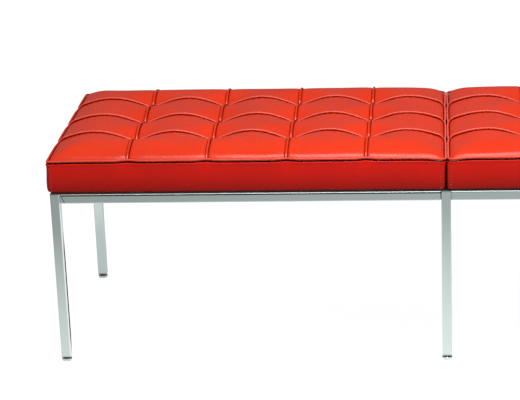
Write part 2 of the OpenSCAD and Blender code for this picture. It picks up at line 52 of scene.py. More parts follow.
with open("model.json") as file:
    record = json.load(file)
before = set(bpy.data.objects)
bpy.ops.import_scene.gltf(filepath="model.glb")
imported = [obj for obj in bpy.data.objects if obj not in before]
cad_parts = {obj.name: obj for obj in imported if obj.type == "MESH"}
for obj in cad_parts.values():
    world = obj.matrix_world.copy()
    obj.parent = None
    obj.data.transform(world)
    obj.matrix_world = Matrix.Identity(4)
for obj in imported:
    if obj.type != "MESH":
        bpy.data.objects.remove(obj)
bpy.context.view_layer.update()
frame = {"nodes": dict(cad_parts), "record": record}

SIDES = ("left", "right")
COLUMNS = ("left", "middle", "right")
ROWS = ("front", "rear")
PLACES = [f"{row}_{column}" for row in ROWS for column in COLUMNS]
MM = 0.001


# Settings that a user would change

class CushionCut(bpy.types.PropertyGroup):
    """Sizes of the two cushions' covers and of the tufting."""

    panel_cols: bpy.props.IntProperty(
        name="Panels along", description="Panels along one cushion", default=5, min=3, max=7)
    panel_rows: bpy.props.IntProperty(
        name="Panels across", description="Panels from front to back", default=4, min=2, max=5)
    tuft_height: bpy.props.FloatProperty(
        name="Tuft height", description="Height of a tuft above the band's top edge",
        default=4.4 * MM, unit="LENGTH")
    long_arch: bpy.props.FloatProperty(
        name="Lengthwise arch", description="Rise of a lengthwise seam between two tufts",
        default=20.1 * MM, unit="LENGTH")
    short_arch: bpy.props.FloatProperty(
        name="Crosswise arch", description="Rise of a crosswise seam between two tufts",
        default=16.6 * MM, unit="LENGTH")
    edge_arch: bpy.props.FloatProperty(
        name="Edge arch", description="Further rise of a crosswise seam in the outer rows",
        default=3 * MM, unit="LENGTH")
    flatten: bpy.props.FloatProperty(
        name="Flat middle", description="Height by which a panel stays below both rises together",
        default=14.6 * MM, unit="LENGTH")
    puff: bpy.props.FloatProperty(
        name="Puff", description="Extra fullness of a panel beside its seams",
        default=6 * MM, unit="LENGTH")
    edge_height: bpy.props.FloatProperty(
        name="Edge height", description="Height of the top's edge above the band's top edge",
        default=3.5 * MM, unit="LENGTH")
    roll_width: bpy.props.FloatProperty(
        name="Rolled edge", description="Width of the slow roll round the top",
        default=66 * MM, unit="LENGTH")
    rim_width: bpy.props.FloatProperty(
        name="Rim", description="Width of the tight roll beside the piping",
        default=10 * MM, unit="LENGTH")
    welt_diameter: bpy.props.FloatProperty(
        name="Welt diameter", description="Diameter of the welts in the seams",
        default=5 * MM, unit="LENGTH")
    draw_in: bpy.props.FloatProperty(
        name="Draw in", description="Distance by which a seam's end pulls the piping in",
        default=2.0 * MM, unit="LENGTH")
    stitch_pitch: bpy.props.FloatProperty(
        name="Stitch pitch", description="Distance from one stitch to the next",
        default=5.6 * MM, unit="LENGTH")


class LeatherFinish(bpy.types.PropertyGroup):
    """Colours and finish of the leather, and the colour of its thread."""

    top_colour: bpy.props.FloatVectorProperty(
        name="Top", description="Leather of the tufted tops and the piping",
        default=(0.735, 0.033, 0.005), subtype="COLOR", size=3, min=0, max=1)
    # The bands' own leather colour, set darker and redder than the top's, partly holds the shade
    # of the upright sides as painted shade.
    band_colour: bpy.props.FloatVectorProperty(
        name="Side band", description="Leather of the side bands",
        default=(0.70, 0.012, 0.006), subtype="COLOR", size=3, min=0, max=1)
    # Painted shade: the share of its colour that the leather keeps where shade falls in its folds
    # and seams.
    painted_fold_shade: bpy.props.FloatProperty(
        name="Fold shade", description="Share of its colour that the leather keeps in its folds",
        default=0.38, subtype="FACTOR", min=0, max=1)
    thread_colour: bpy.props.FloatVectorProperty(
        name="Thread", description="Thread of the topstitching",
        default=(0.85, 0.10, 0.07), subtype="COLOR", size=3, min=0, max=1)
    grain_size: bpy.props.FloatProperty(
        name="Grain", description="Size of a cell of the leather's grain",
        default=1.3 * MM, unit="LENGTH")
    roughness: bpy.props.FloatProperty(
        name="Roughness", description="Roughness of the leather's satin finish",
        default=0.29, subtype="FACTOR", min=0, max=1)


class MetalFinish(bpy.types.PropertyGroup):
    """Finish of the polished frame."""

    chrome_colour: bpy.props.FloatVectorProperty(
        name="Chrome", description="Chrome plate of the frame",
        default=(0.70, 0.81, 0.79), subtype="COLOR", size=3, min=0, max=1)
    chrome_roughness: bpy.props.FloatProperty(
        name="Roughness", description="Roughness of the chrome plate",
        default=0.10, subtype="FACTOR", min=0, max=1)


class StudioSettings(bpy.types.PropertyGroup):
    """Floor and light."""

    floor_grey: bpy.props.FloatProperty(
        name="Floor", description="Share of the light that the floor gives back",
        default=0.40, subtype="FACTOR", min=0, max=1)
    shadow_share: bpy.props.FloatProperty(
        name="Shadow", description="Share of the bench's shadow that the camera sees",
        default=0.18, subtype="FACTOR", min=0, max=1)
    sky_strength: bpy.props.FloatProperty(
        name="Sky", description="Strength of the even light all round",
        default=0.45, min=0, max=2)
    lamp_power: bpy.props.FloatProperty(
        name="Lamp", description="Power of the soft lamp overhead",
        default=40.0, min=0, max=500, unit="POWER")
    front_power: bpy.props.FloatProperty(
        name="Front lamp", description="Power of the large soft lamp in front",
        default=21.0, min=0, max=500, unit="POWER")


# The photograph's view, found by fitting the bench's corners and edges to it
PHOTO_WIDTH_PX = 520
PHOTO_HEIGHT_PX = 400
FOCAL_PX = 2041.09
VIEW_CENTRE_PX = (325.0, 215.0)
CAMERA_PLACE = Vector((-0.00796, -3.94256, 1.58266))
CAMERA_YAW = math.radians(-3.4748)
CAMERA_PITCH = math.radians(19.0380)
CAMERA_ROLL = math.radians(-1.6106)
SENSOR_MM = 36.0


# Sizes that follow from the frame

class Cushion:
    """Where one cushion sits, measured from the frame's nodes."""

    def __init__(self, side, cut):
        low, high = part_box(f"{side}_boxing")
        pad_low, pad_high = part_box(f"{side}_tufted_pad")
        pipe_low, pipe_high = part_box(f"{side}_top_piping")
        self.side = side
        self.inward = 1 if side == "left" else -1
        self.cut = cut
        self.middle = Vector(((low.x + high.x) / 2, (low.y + high.y) / 2, 0))
        self.half_l = (high.x - low.x) / 2
        self.half_d = (high.y - low.y) / 2
        self.low_z = low.z
        self.band_z = high.z
        self.pad_half_l = (pad_high.x - pad_low.x) / 2
        self.pad_half_d = (pad_high.y - pad_low.y) / 2
        self.pipe_z = (pipe_high.z + pipe_low.z) / 2
        self.edge_z = self.band_z + cut.edge_height
        self.tuft_z = self.band_z + cut.tuft_height
        self.seam_xs = seam_places(cut.panel_cols, 2 * self.half_l)
        self.seam_ys = seam_places(cut.panel_rows, 2 * self.half_d)


CORNER_R = 6 * MM
HEM_R = 4 * MM
HEM_W = 52 * MM
LEATHER_T = 1.6 * MM


def seam_places(count, length):
    """Places of the seams between panels, from the cushion's middle."""
    return [(i / count - 0.5) * length for i in range(1, count)]


# Shape of the tufted top, as functions of a place measured from the cushion's middle

LONG_DIMPLE = 1.35
SHORT_DIMPLE = 1.3


def fade(distance, reach):
    """A bell that is 1 at no distance and about a third at the reach."""
    return np.exp(-(distance / reach) ** 2)


def arch(place, count, length, dimple):
    """Rise of a seam between two tufts, from 0 to 1, full beyond the middle of an edge panel.
    dimple above 1 rounds the low points at the tufts."""
    along = np.clip((place / length + 0.5) * count, 0, count - 1e-9)
    number = np.floor(along)
    share = along - number
    in_edge_half = ((number == 0) & (share < 0.5)) | ((number == count - 1) & (share > 0.5))
    return np.where(in_edge_half, 1.0, (4 * share * (1 - share)) ** dimple)


def outer_row(place, count, length):
    """1 in the rows of panels along an edge, 0 elsewhere."""
    along = (place / length + 0.5) * count
    return ((along < 1) | (along > count - 1)).astype(float)


def seam_distance(place, count, length):
    """Distance to the nearest seam between panels."""
    along = (place / length + 0.5) * count
    nearest = np.clip(np.round(along), 1, count - 1)
    return np.abs(along - nearest) * length / count


END_FALL = 4 * MM
END_FALL_REACH = 150 * MM
CORNER_FULLNESS = 4
RIM_SHARE = 0.2


def roll(from_edge, cushion):
    """Share of the full height lost at a distance from an edge: a slow roll and a tight rim."""
    slow = np.clip(1 - from_edge / cushion.cut.roll_width, 0, 1) ** 2
    tight = np.clip(1 - from_edge / cushion.cut.rim_width, 0, 1) ** 2
    return (1 - RIM_SHARE) * slow + RIM_SHARE * tight


def rolled(x, y, cushion):
    """Share of the full height left by the rolls along the edges, which meet at the corners."""
    end = roll(cushion.pad_half_l - np.abs(x), cushion)
    side = roll(cushion.pad_half_d - np.abs(y), cushion)
    both = (end ** CORNER_FULLNESS + side ** CORNER_FULLNESS) ** (1 / CORNER_FULLNESS)
    return np.clip(1 - both, 0, 1)


def crown(x, y, cushion):
    """Height of the tufted top without its creases. It falls a little where the cushions meet."""
    cut = cushion.cut
    a = arch(x, cut.panel_cols, 2 * cushion.half_l, LONG_DIMPLE)
    b = arch(y, cut.panel_rows, 2 * cushion.half_d, SHORT_DIMPLE)
    side_rise = cut.edge_arch * outer_row(y, cut.panel_rows, 2 * cushion.half_d)
    full = (cushion.tuft_z + cut.long_arch * a + cut.short_arch * b - cut.flatten * a * b
            + side_rise * b * (1 - a) + cut.puff * (np.sqrt(a * b) - a * b))
    from_inner = cushion.half_l - x * cushion.inward
    full = full - END_FALL * np.clip(1 - from_inner / END_FALL_REACH, 0, 1)
    return cushion.edge_z + (full - cushion.edge_z) * rolled(x, y, cushion)


GROOVE_DEPTH = 2.6 * MM
GROOVE_FLOOR = 1.5 * MM
GROOVE_WIDTH = 2.6 * MM
SHADE_START = 2.4 * MM
SHADE_WIDTH = 0.8 * MM


def seam_distances(x, y, cushion):
    """Distances to the nearest crosswise and lengthwise seams."""
    cut = cushion.cut
    return (seam_distance(x, cut.panel_cols, 2 * cushion.half_l),
            seam_distance(y, cut.panel_rows, 2 * cushion.half_d))


def beside_seams(x, y, cushion, near, width):
    """1 up to a distance from a seam of either kind, fading over a width beyond it."""
    along, across = (fade(np.clip(distance - near, 0, None), width)
                     for distance in seam_distances(x, y, cushion))
    return along + across - along * across


def groove(x, y, cushion):
    """Depth of the seams' grooves, in which the welts lie."""
    return GROOVE_DEPTH * beside_seams(x, y, cushion, GROOVE_FLOOR, GROOVE_WIDTH)


def seam_shade(x, y, cushion):
    """Painted shade: 1 in the folds beside the welts, where shade falls, and 0 beyond them."""
    return beside_seams(x, y, cushion, SHADE_START, SHADE_WIDTH)


PUCKER_DEPTH = 0.35 * MM
PUCKER_PITCH = 13 * MM
PUCKER_REACH = 11 * MM
PUCKER_WANDER = 1.4
WANDER_L = 31 * MM
WANDER_D = 47 * MM
WANDER_SLANT = 2.3


def puckers(x, y, cushion):
    """Small gathers square to the seams, which fade into the panels."""
    from_short, from_long = seam_distances(x, y, cushion)
    turn = 2 * math.pi / PUCKER_PITCH
    wander = PUCKER_WANDER * np.sin(x / WANDER_L + WANDER_SLANT * y / WANDER_D)
    beside_short = np.exp(-from_short / PUCKER_REACH) * np.sin(turn * y + wander)
    beside_long = np.exp(-from_long / PUCKER_REACH) * np.sin(turn * x - wander)
    return PUCKER_DEPTH * (beside_short + beside_long)


LUMP_DEPTH = 0.9 * MM
LUMP_SIZE = 55 * MM


def lumps(points, seed):
    """Slight unevenness of hand-filled panels."""
    return np.array([noise.noise(Vector((x / LUMP_SIZE, y / LUMP_SIZE, seed))) * LUMP_DEPTH
                     for x, y in points])


SEAM_PULL_WIDTH = 15 * MM
PULL_REACH = 16 * MM
PULL_RISE = 1.0 * MM
OVERHANG = 0.5 * MM
OUTER_OVERHANG = 2.4 * MM
SWELL = 0.8 * MM
OUTER_DROP = 0.8 * MM
INNER_DROP = 3.6 * MM
CORNER_DROP_REACH = 26 * MM
INNER_PULL_SHARE = 0.4
LEAN = 2.2 * MM
BACK_LEAN = 4.0 * MM
LEAN_REACH = 170 * MM
CORNER_TURN = 8 * MM
CORNER_TURN_L = 6 * MM
CORNER_TURN_D = 22 * MM


def seam_pull(place, seams):
    """1 where a seam ends on the cushion's side, falling to 0 beside it."""
    return sum(fade(place - seam, SEAM_PULL_WIDTH) for seam in seams)


def lean(x, y, cushion):
    """Distance by which the top leans to the right, most at the back and nothing at the bench's
    two ends. Where the cushions meet they lean alike."""
    from_outer = cushion.half_l + x * cushion.inward
    from_inner = cushion.half_l - x * cushion.inward
    depth = (y / cushion.half_d + 1) / 2
    back = BACK_LEAN * depth * np.clip(from_inner / LEAN_REACH, 0, 1)
    return (LEAN + back) * np.clip(from_outer / LEAN_REACH, 0, 1)


def drawn(points, cushion, hold=1.0):
    """Points near a cushion's top edge, swollen out between its seams, drawn in and up at their
    ends, down at its corners and round where the cushions meet. hold is the share that a point
    takes part, 1 at the piping."""
    x, y, z = points[:, 0], points[:, 1], points[:, 2]
    draw_in = cushion.cut.draw_in + SWELL
    near_end = fade(np.clip(cushion.half_l - np.abs(x), 0, None), PULL_REACH)
    near_front = fade(np.clip(cushion.half_d - np.abs(y), 0, None), PULL_REACH)
    is_inner = x * cushion.inward > 0
    end_pull = seam_pull(y, cushion.seam_ys) * near_end * hold
    end_pull = end_pull * np.where(is_inner, INNER_PULL_SHARE, 1)
    front_pull = seam_pull(x, cushion.seam_xs) * near_front * hold
    out = (OVERHANG + SWELL) * hold
    end_out = np.where(is_inner, out, out + (OUTER_OVERHANG - OVERHANG) * hold)
    corner = np.hypot(cushion.half_l - np.abs(x), cushion.half_d - np.abs(y))
    depth = np.where(is_inner, INNER_DROP, OUTER_DROP)
    drop = depth * fade(corner, CORNER_DROP_REACH) * hold
    from_end = np.clip(cushion.half_l - x * cushion.inward, 0, None)
    turned = np.exp(-(from_end / CORNER_TURN_L) ** 2
                    - ((cushion.half_d - np.abs(y)) / CORNER_TURN_D) ** 2)
    return np.column_stack([
        x + np.sign(x) * (end_out * near_end - draw_in * end_pull) + lean(x, y, cushion) * hold,
        y + np.sign(y) * (out * near_front - draw_in * front_pull
                          - CORNER_TURN * turned * hold),
        z + PULL_RISE * (end_pull + front_pull) - drop,
    ])


# Making and finishing objects

def deselect_all():
    """Leaves nothing selected, so that an operator acts on the new piece alone."""
    for thing in bpy.context.selected_objects:
        thing.select_set(False)


def select_only(piece):
    """Makes a piece the only one that operators act on."""
    deselect_all()
    piece.select_set(True)
    bpy.context.view_layer.objects.active = piece


def primitive(name, add, **settings):
    """A new object of one of Blender's own shapes, made by the operator that adds it."""
    deselect_all()
    add(**settings)
    made = bpy.context.object
    made.name = name
    return made


def mesh_piece(name, points, faces, middle=(0, 0, 0)):
    """A new object from points measured from a middle, with its place in its mesh."""
    mesh = bpy.data.meshes.new(name)
    placed = np.asarray(points, float) + np.asarray(middle, float)
    mesh.from_pydata(placed.tolist(), [], faces)
    mesh.update()
    piece = bpy.data.objects.new(name, mesh)
    bpy.context.collection.objects.link(piece)
    return piece


def clean_mesh(piece, distance=0.01 * MM):
    """Merges doubles and turns all the faces outward."""
    select_only(piece)
    bpy.ops.object.mode_set(mode="EDIT")
    bpy.ops.mesh.select_all(action="SELECT")
    bpy.ops.mesh.remove_doubles(threshold=distance)
    bpy.ops.mesh.normals_make_consistent(inside=False)
    bpy.ops.object.mode_set(mode="OBJECT")


def smooth(piece, angle):
    """Smooth shading, kept sharp where faces meet at more than an angle in degrees."""
    select_only(piece)
    bpy.ops.object.shade_smooth_by_angle(angle=math.radians(angle))


def apply_modifier(piece, kind, **settings):
    """Adds one modifier, sets it and applies it."""
    modifier = piece.modifiers.new(kind.title(), kind)
    for key, value in settings.items():
        setattr(modifier, key, value)
    select_only(piece)
    bpy.ops.object.modifier_apply(modifier=modifier.name)


def leather_piece(name, points, faces, shades, cushion, material, angle=60, thickness=None):
    """A leather piece from points measured from a cushion's middle, each with its painted shade
    and highlight, made thicker inward where a thickness is given."""
    piece = mesh_piece(name, points, faces, cushion.middle)
    attribute = piece.data.attributes.new("seam_shade", "FLOAT", "POINT")
    attribute.data.foreach_set("value", np.asarray(shades, float))
    clean_mesh(piece)
    if thickness:
        apply_modifier(piece, "SOLIDIFY", thickness=thickness, offset=-1.0)
    smooth(piece, angle)
    give_material(piece, material)
    return piece


def apply_place(piece):
    """Moves an object's place, turn and scale into its mesh."""
    select_only(piece)
    bpy.ops.object.transform_apply(location=True, rotation=True, scale=True)


def join_pieces(parts, name):
    """Several objects as one."""
    deselect_all()
    for part in parts:
        part.select_set(True)
    bpy.context.view_layer.objects.active = parts[0]
    if len(parts) > 1:
        bpy.ops.object.join()
    parts[0].name = name
    parts[0].data.name = name
    return parts[0]


def copies_at(master, offsets):
    """Copies of one modelled piece, each with its own mesh moved by an offset. The first offset
    is the master's own."""
    made = [master]
    for offset in offsets[1:]:
        copy = master.copy()
        copy.data = master.data.copy()
        copy.data.transform(Matrix.Translation(Vector(offset) - Vector(offsets[0])))
        bpy.context.collection.objects.link(copy)
        made.append(copy)
    return made


def grid_faces(across, along):
    """Quads between the points of a grid, row by row, facing up."""
    corner = (np.arange(along - 1)[:, None] * across + np.arange(across - 1)[None, :]).ravel()
    quads = np.column_stack([corner, corner + 1, corner + across + 1, corner + across])
    return quads.tolist()


def ring_turns(sides):
    """Angles of the points round a ring."""
    return 2 * math.pi * np.arange(sides) / sides


def wall_faces(rings, sides, closed=False):
    """Quads between rings of points, the last ring joined to the first where closed."""
    faces = []
    for k in range(rings if closed else rings - 1):
        a, b = k * sides, ((k + 1) % rings) * sides
        for s in range(sides):
            t = (s + 1) % sides
            faces.append([a + s, a + t, b + t, b + s])
    return faces


def rod_faces(rings, sides):
    """Quads between rings of points, and a cap over each end."""
    last = (rings - 1) * sides
    caps = [list(range(sides))[::-1], list(range(last, last + sides))]
    return wall_faces(rings, sides) + caps


def tube(points, outs, ups, radii, sides, closed):
    """Points and faces of a tube along a line. outs and ups are its two square directions."""
    turns = ring_turns(sides)
    ring = (np.cos(turns)[None, :, None] * outs[:, None, :]
            + np.sin(turns)[None, :, None] * ups[:, None, :])
    rings = points[:, None, :] + radii[:, None, None] * ring
    count = len(points)
    faces = wall_faces(count, sides, closed=True) if closed else rod_faces(count, sides)
    return rings.reshape(-1, 3), faces


ARC_STEPS = 6


def outline(half_l, half_d, radius, step):
    """Closed line round a rectangle with round corners, anticlockwise from the front end of the
    right side: the centre of each point's corner arc or its foot on the inner rectangle, and the
    direction out."""
    feet, outs = [], []
    inner_l, inner_d = half_l - radius, half_d - radius
    for quarter in range(4):
        is_end = quarter % 2 == 0
        run = inner_d if is_end else inner_l
        turn = quarter * math.pi / 2
        out = np.array([math.cos(turn), math.sin(turn)])
        ahead = np.array([-out[1], out[0]])
        reach = inner_l if is_end else inner_d
        count = max(2, round(2 * run / step))
        for place in np.linspace(-run, run, count + 1):
            feet.append(out * reach + ahead * place)
            outs.append(out)
        for k in range(1, ARC_STEPS):
            angle = turn + k / ARC_STEPS * math.pi / 2
            feet.append(out * reach + ahead * run)
            outs.append(np.array([math.cos(angle), math.sin(angle)]))
    return np.array(feet), np.array(outs)


# Nodes of materials and of the world, each called the owner of its nodes

def add_node(owner, kind, settings=None, values=None):
    """A node of a kind, with its settings and its sockets' values."""
    made = owner.node_tree.nodes.new(kind)
    for key, value in (settings or {}).items():
        setattr(made, key, value)
    for key, value in (values or {}).items():
        made.inputs[key].default_value = value
    return made


def feed(owner, value, socket):
    """Gives a socket what another one gives out, or a plain number or colour."""
    if isinstance(value, bpy.types.NodeSocket):
        owner.node_tree.links.new(value, socket)
    elif isinstance(value, (int, float)):
        socket.default_value = value
    else:
        socket.default_value = (*value, 1)


def node_at(owner, kind, place, settings=None, values=None):
    """The outputs of a node that works on a place."""
    made = add_node(owner, kind, settings, values)
    feed(owner, place, made.inputs["Vector"])
    return made.outputs


def axes(owner, place):
    """The X, Y and Z of a place."""
    return node_at(owner, "ShaderNodeSeparateXYZ", place)


def math_node(owner, operation, *values):
    """The result of one operation on values."""
    made = add_node(owner, "ShaderNodeMath", {"operation": operation})
    for value, socket in zip(values, made.inputs):
        feed(owner, value, socket)
    return made.outputs[0]


def ranged(owner, source, low, high, from_low=0.3, from_high=0.7):
    """A value mapped onto a range."""
    made = add_node(owner, "ShaderNodeMapRange",
                    values={"From Min": from_low, "From Max": from_high,
                            "To Min": low, "To Max": high})
    feed(owner, source, made.inputs["Value"])
    return made.outputs["Result"]


def mixed_value(owner, factor, first, second):
    """A value between two, by a factor."""
    made = add_node(owner, "ShaderNodeMix")
    for key, value in (("Factor", factor), ("A", first), ("B", second)):
        feed(owner, value, made.inputs[key])
    return made.outputs["Result"]


def blend(owner, factor, first, second):
    """A colour between two, by a factor."""
    made = add_node(owner, "ShaderNodeMix", {"data_type": "RGBA"})
    feed(owner, factor, made.inputs["Factor"])
    sockets = [socket for socket in made.inputs if socket.type == "RGBA"]
    feed(owner, first, sockets[0])
    feed(owner, second, sockets[1])
    return [socket for socket in made.outputs if socket.type == "RGBA"][0]


def shade(colour, amount):
    """A colour made lighter or darker by a factor."""
    return tuple(min(1.0, max(0.0, channel * amount)) for channel in colour)


def toned(owner, factor, colour, first, second):
    """A colour whose shade goes from a first amount to a second, by a factor."""
    return blend(owner, factor, shade(colour, first), shade(colour, second))


def object_place(owner):
    """The Object coordinates, in metres."""
    return add_node(owner, "ShaderNodeTexCoord").outputs["Object"]


def stretched(owner, place, scale):
    """A place scaled by a different amount along each axis."""
    return node_at(owner, "ShaderNodeMapping", place, values={"Scale": scale})["Vector"]


def noise_at(owner, place, scale, detail=2.0, rough=0.5):
    """Noise of a scale in cells to the metre."""
    values = {"Scale": scale, "Detail": detail, "Roughness": rough}
    return node_at(owner, "ShaderNodeTexNoise", place, values=values)["Fac"]


def varied(owner, place, scale, low, high, detail=3, rough=0.5):
    """A value that wanders over the surface from low to high."""
    return ranged(owner, noise_at(owner, place, scale, detail, rough), low, high)


def bump(owner, source, distance, strength, under=None):
    """A bump of a real height, over another one where given."""
    made = add_node(owner, "ShaderNodeBump",
                    values={"Strength": strength, "Distance": distance})
    feed(owner, source, made.inputs["Height"])
    if under is not None:
        feed(owner, under, made.inputs["Normal"])
    return made.outputs["Normal"]


# Materials

def new_material(name, roughness, metallic=0.0):
    """A material, its Principled shader and its Object coordinates."""
    material = bpy.data.materials.new(name)
    material.use_nodes = True
    shader = material.node_tree.nodes["Principled BSDF"]
    shader.inputs["Roughness"].default_value = roughness
    shader.inputs["Metallic"].default_value = metallic
    return material, shader, object_place(material)


def dressed(material, shader, colour, normal, rough=None):
    """The material, its shader fed with a colour, a bump and a roughness where it varies."""
    feed(material, colour, shader.inputs["Base Color"])
    feed(material, normal, shader.inputs["Normal"])
    if rough is not None:
        feed(material, rough, shader.inputs["Roughness"])
    return material


# Colours of the painted light: near-black painted shade for the deepest gaps, and the pale pink
# of painted highlights on the cords.
DEEP_SHADE = 0.04
PAINTED_HIGHLIGHT_TINT = (0.95, 0.30, 0.25)


def leather_material(name, colour, finish, gloss, smoother):
    """Satin aniline leather: pebble grain, fine pores and slow changes of tone. A per-point
    attribute
    of the mesh paints light on it: painted shade, dark at 1 and almost black at 2, and a pale
    painted highlight below 0."""
    roughness = finish.roughness + smoother
    material, shader, place = new_material(name, roughness)
    shader.inputs["Specular IOR Level"].default_value = gloss
    fold = add_node(material, "ShaderNodeAttribute", {"attribute_name": "seam_shade"})
    fold = fold.outputs["Fac"]
    tone = varied(material, place, 9, 0, 1, detail=4, rough=0.6)
    dyed = toned(material, tone, colour, 0.93, 1.06)
    # Painted shade: the colour darkens in the folds, creases and gaps, where shade would fall.
    dark = blend(material, fold, dyed, shade(colour, finish.painted_fold_shade))
    deep = blend(material, ranged(material, fold, 0, 1, 1, 2), dark, shade(colour, DEEP_SHADE))
    # Painted highlight: the colour turns pale pink on the cords' crests, where light would glint.
    painted_highlight = blend(material, ranged(material, fold, 1, 0, -3, 0), deep, PAINTED_HIGHLIGHT_TINT)
    rough = varied(material, place, 22, roughness - 0.04, roughness + 0.05)
    cells = node_at(material, "ShaderNodeTexVoronoi", place, {"feature": "SMOOTH_F1"},
                    {"Scale": 1 / finish.grain_size, "Smoothness": 0.6, "Randomness": 0.9})
    grain = bump(material, cells["Distance"], 0.10 * MM, strength=0.5)
    creases = noise_at(material, place, 140, detail=4, rough=0.6)
    creased = bump(material, creases, 0.2 * MM, strength=0.2, under=grain)
    return dressed(material, shader, painted_highlight, creased, rough)


# The frame's upper edges are rougher and darkened by painted shade; the dark line is a painted
# reflection of the shade under the cushion.
EDGE_HEIGHT = 2.1 * MM
EDGE_FADE = 0.8 * MM
EDGE_SHADE = 0.7
EDGE_ROUGHER = 0.4
LINE_DROP = 2.8 * MM
LINE_HALF = 1.1 * MM
LINE_SHADE = 0.08
NO_LINE_Z = -1.0


def chrome_material(name, colour, roughness, rougher_and_shaded_from, line_z=NO_LINE_Z):
    """Polished chrome plate with faint polishing marks and smudges. From a height on, where the
    frame's upper edges turn over, it is rougher and darkened by painted shade. Along a line at
    line_z it carries a dark painted reflection; that line is under the floor where none is given."""
    material, shader, place = new_material(name, roughness, 1.0)
    height = axes(material, place)["Z"]
    upper = ranged(material, height, 0, 1, rougher_and_shaded_from, rougher_and_shaded_from + EDGE_FADE)
    plate = toned(material, upper, colour, 1, EDGE_SHADE)
    on_line = math_node(material, "COMPARE", height, line_z, LINE_HALF)
    lined = blend(material, on_line, plate, shade(colour, LINE_SHADE))
    smudges = varied(material, place, 14, roughness - 0.025, roughness + 0.03, rough=0.55)
    rough = math_node(material, "ADD", smudges, ranged(material, upper, 0, EDGE_ROUGHER, 0, 1))
    marks = noise_at(material, stretched(material, place, (900, 900, 60)), 1)
    polished = bump(material, marks, 0.004 * MM, strength=0.25)
    return dressed(material, shader, lined, polished, rough)


# Place and colours of the painted reflection on the front left leg's inner side.
STREAK_DEPTH = 2.5 * MM
STREAK_START = 0.3
STREAK_LOW = 30 * MM
STREAK_HIGH = 250 * MM
STREAK_FADE = 20 * MM
DARK_REFLECTION_COLOUR = (0.01, 0.05, 0.06)
BRIGHT_REFLECTION_TINT = (0.96, 1.0, 1.0)


def chrome_with_painted_reflection(name, colour, roughness, rougher_and_shaded_from, leg_low, leg_high):
    """Chrome plate of a leg whose inner side is made bright by a painted reflection, with a dark
    upright streak of painted reflection over that side from a share of the leg's depth back."""
    material = chrome_material(name, colour, roughness, rougher_and_shaded_from)
    shader = material.node_tree.nodes["Principled BSDF"]
    plain = shader.inputs["Base Color"].links[0].from_socket
    x, y, z = axes(material, object_place(material))
    start = leg_low.y + STREAK_START * (leg_high.y - leg_low.y)
    side = ranged(material, x, 0, 1, leg_high.x - STREAK_DEPTH, leg_high.x - STREAK_DEPTH / 2)
    rear = ranged(material, y, 0, 1, start, start + STREAK_DEPTH)
    above = ranged(material, z, 0, 1, STREAK_LOW - STREAK_FADE, STREAK_LOW + STREAK_FADE)
    below = ranged(material, z, 1, 0, STREAK_HIGH - STREAK_FADE, STREAK_HIGH + STREAK_FADE)
    streak = side
    for share in (rear, above, below):
        streak = math_node(material, "MULTIPLY", streak, share)
    # Painted reflection: the streak loses its metal and turns near black, and the rest of the
    # inner side is tinted bright.
    shader.inputs["Specular IOR Level"].default_value = 0.0
    feed(material, ranged(material, streak, 1, 0, 0, 1), shader.inputs["Metallic"])
    bright = blend(material, side, plain, BRIGHT_REFLECTION_TINT)
    feed(material, blend(material, streak, bright, DARK_REFLECTION_COLOUR), shader.inputs["Base Color"])
    return material


def steel_material(name, colour, roughness):
    """Plated or blackened steel of small fittings, slightly mottled."""
    material, shader, place = new_material(name, roughness, 1.0)
    plate = toned(material, varied(material, place, 420, 0, 1), colour, 0.85, 1.1)
    rough = varied(material, place, 160, roughness - 0.06, roughness + 0.08)
    skin = bump(material, noise_at(material, place, 1500), 0.02 * MM, strength=0.3)
    return dressed(material, shader, plate, skin, rough)


def nylon_material(name, colour):
    """Moulded white nylon with a fine matte skin."""
    material, shader, place = new_material(name, 0.5)
    tone = varied(material, place, 90, 0, 1, detail=2)
    skin = bump(material, noise_at(material, place, 2600), 0.02 * MM, strength=0.4)
    return dressed(material, shader, toned(material, tone, colour, 0.96, 1), skin)


PLY_T = 1.35 * MM


def plywood_material(name, face, glue):
    """Birch plywood: long grain on its faces and thin plies on its edges."""
    material, shader, place = new_material(name, 0.55)
    figured = stretched(material, place, (2.2, 30, 30))
    figure = varied(material, figured, 1, 0, 1, rough=0.6)
    wood = toned(material, figure, face, 0.82, 1)
    plies = math_node(material, "PINGPONG", axes(material, place)["Z"], PLY_T)
    is_glue = ranged(material, plies, 0.5, 0, 0.05 * MM, 0.25 * MM)
    fibres = stretched(material, place, (9, 210, 210))
    grain = bump(material, noise_at(material, fibres, 1, detail=4, rough=0.65), 0.12 * MM,
                 strength=0.5)
    return dressed(material, shader, blend(material, is_glue, wood, glue), grain)


def foam_material(name, colour):
    """Open-cell foam with a crumbed surface."""
    material, shader, place = new_material(name, 0.9)
    cells = node_at(material, "ShaderNodeTexVoronoi", place, values={"Scale": 900})["Distance"]
    crumbs = bump(material, cells, 0.4 * MM, strength=0.7)
    return dressed(material, shader, toned(material, cells, colour, 1, 0.7), crumbs)


def twine_material(name, colour, gloss=0.5):
    """Waxed twine of laid strands."""
    material, shader, place = new_material(name, 0.6)
    shader.inputs["Specular IOR Level"].default_value = gloss
    strands = node_at(material, "ShaderNodeTexWave", place, {"bands_direction": "DIAGONAL"},
                      {"Scale": 700, "Distortion": 1.0})["Fac"]
    laid = bump(material, strands, 0.15 * MM, strength=0.6)
    return dressed(material, shader, toned(material, strands, colour, 0.7, 1), laid)


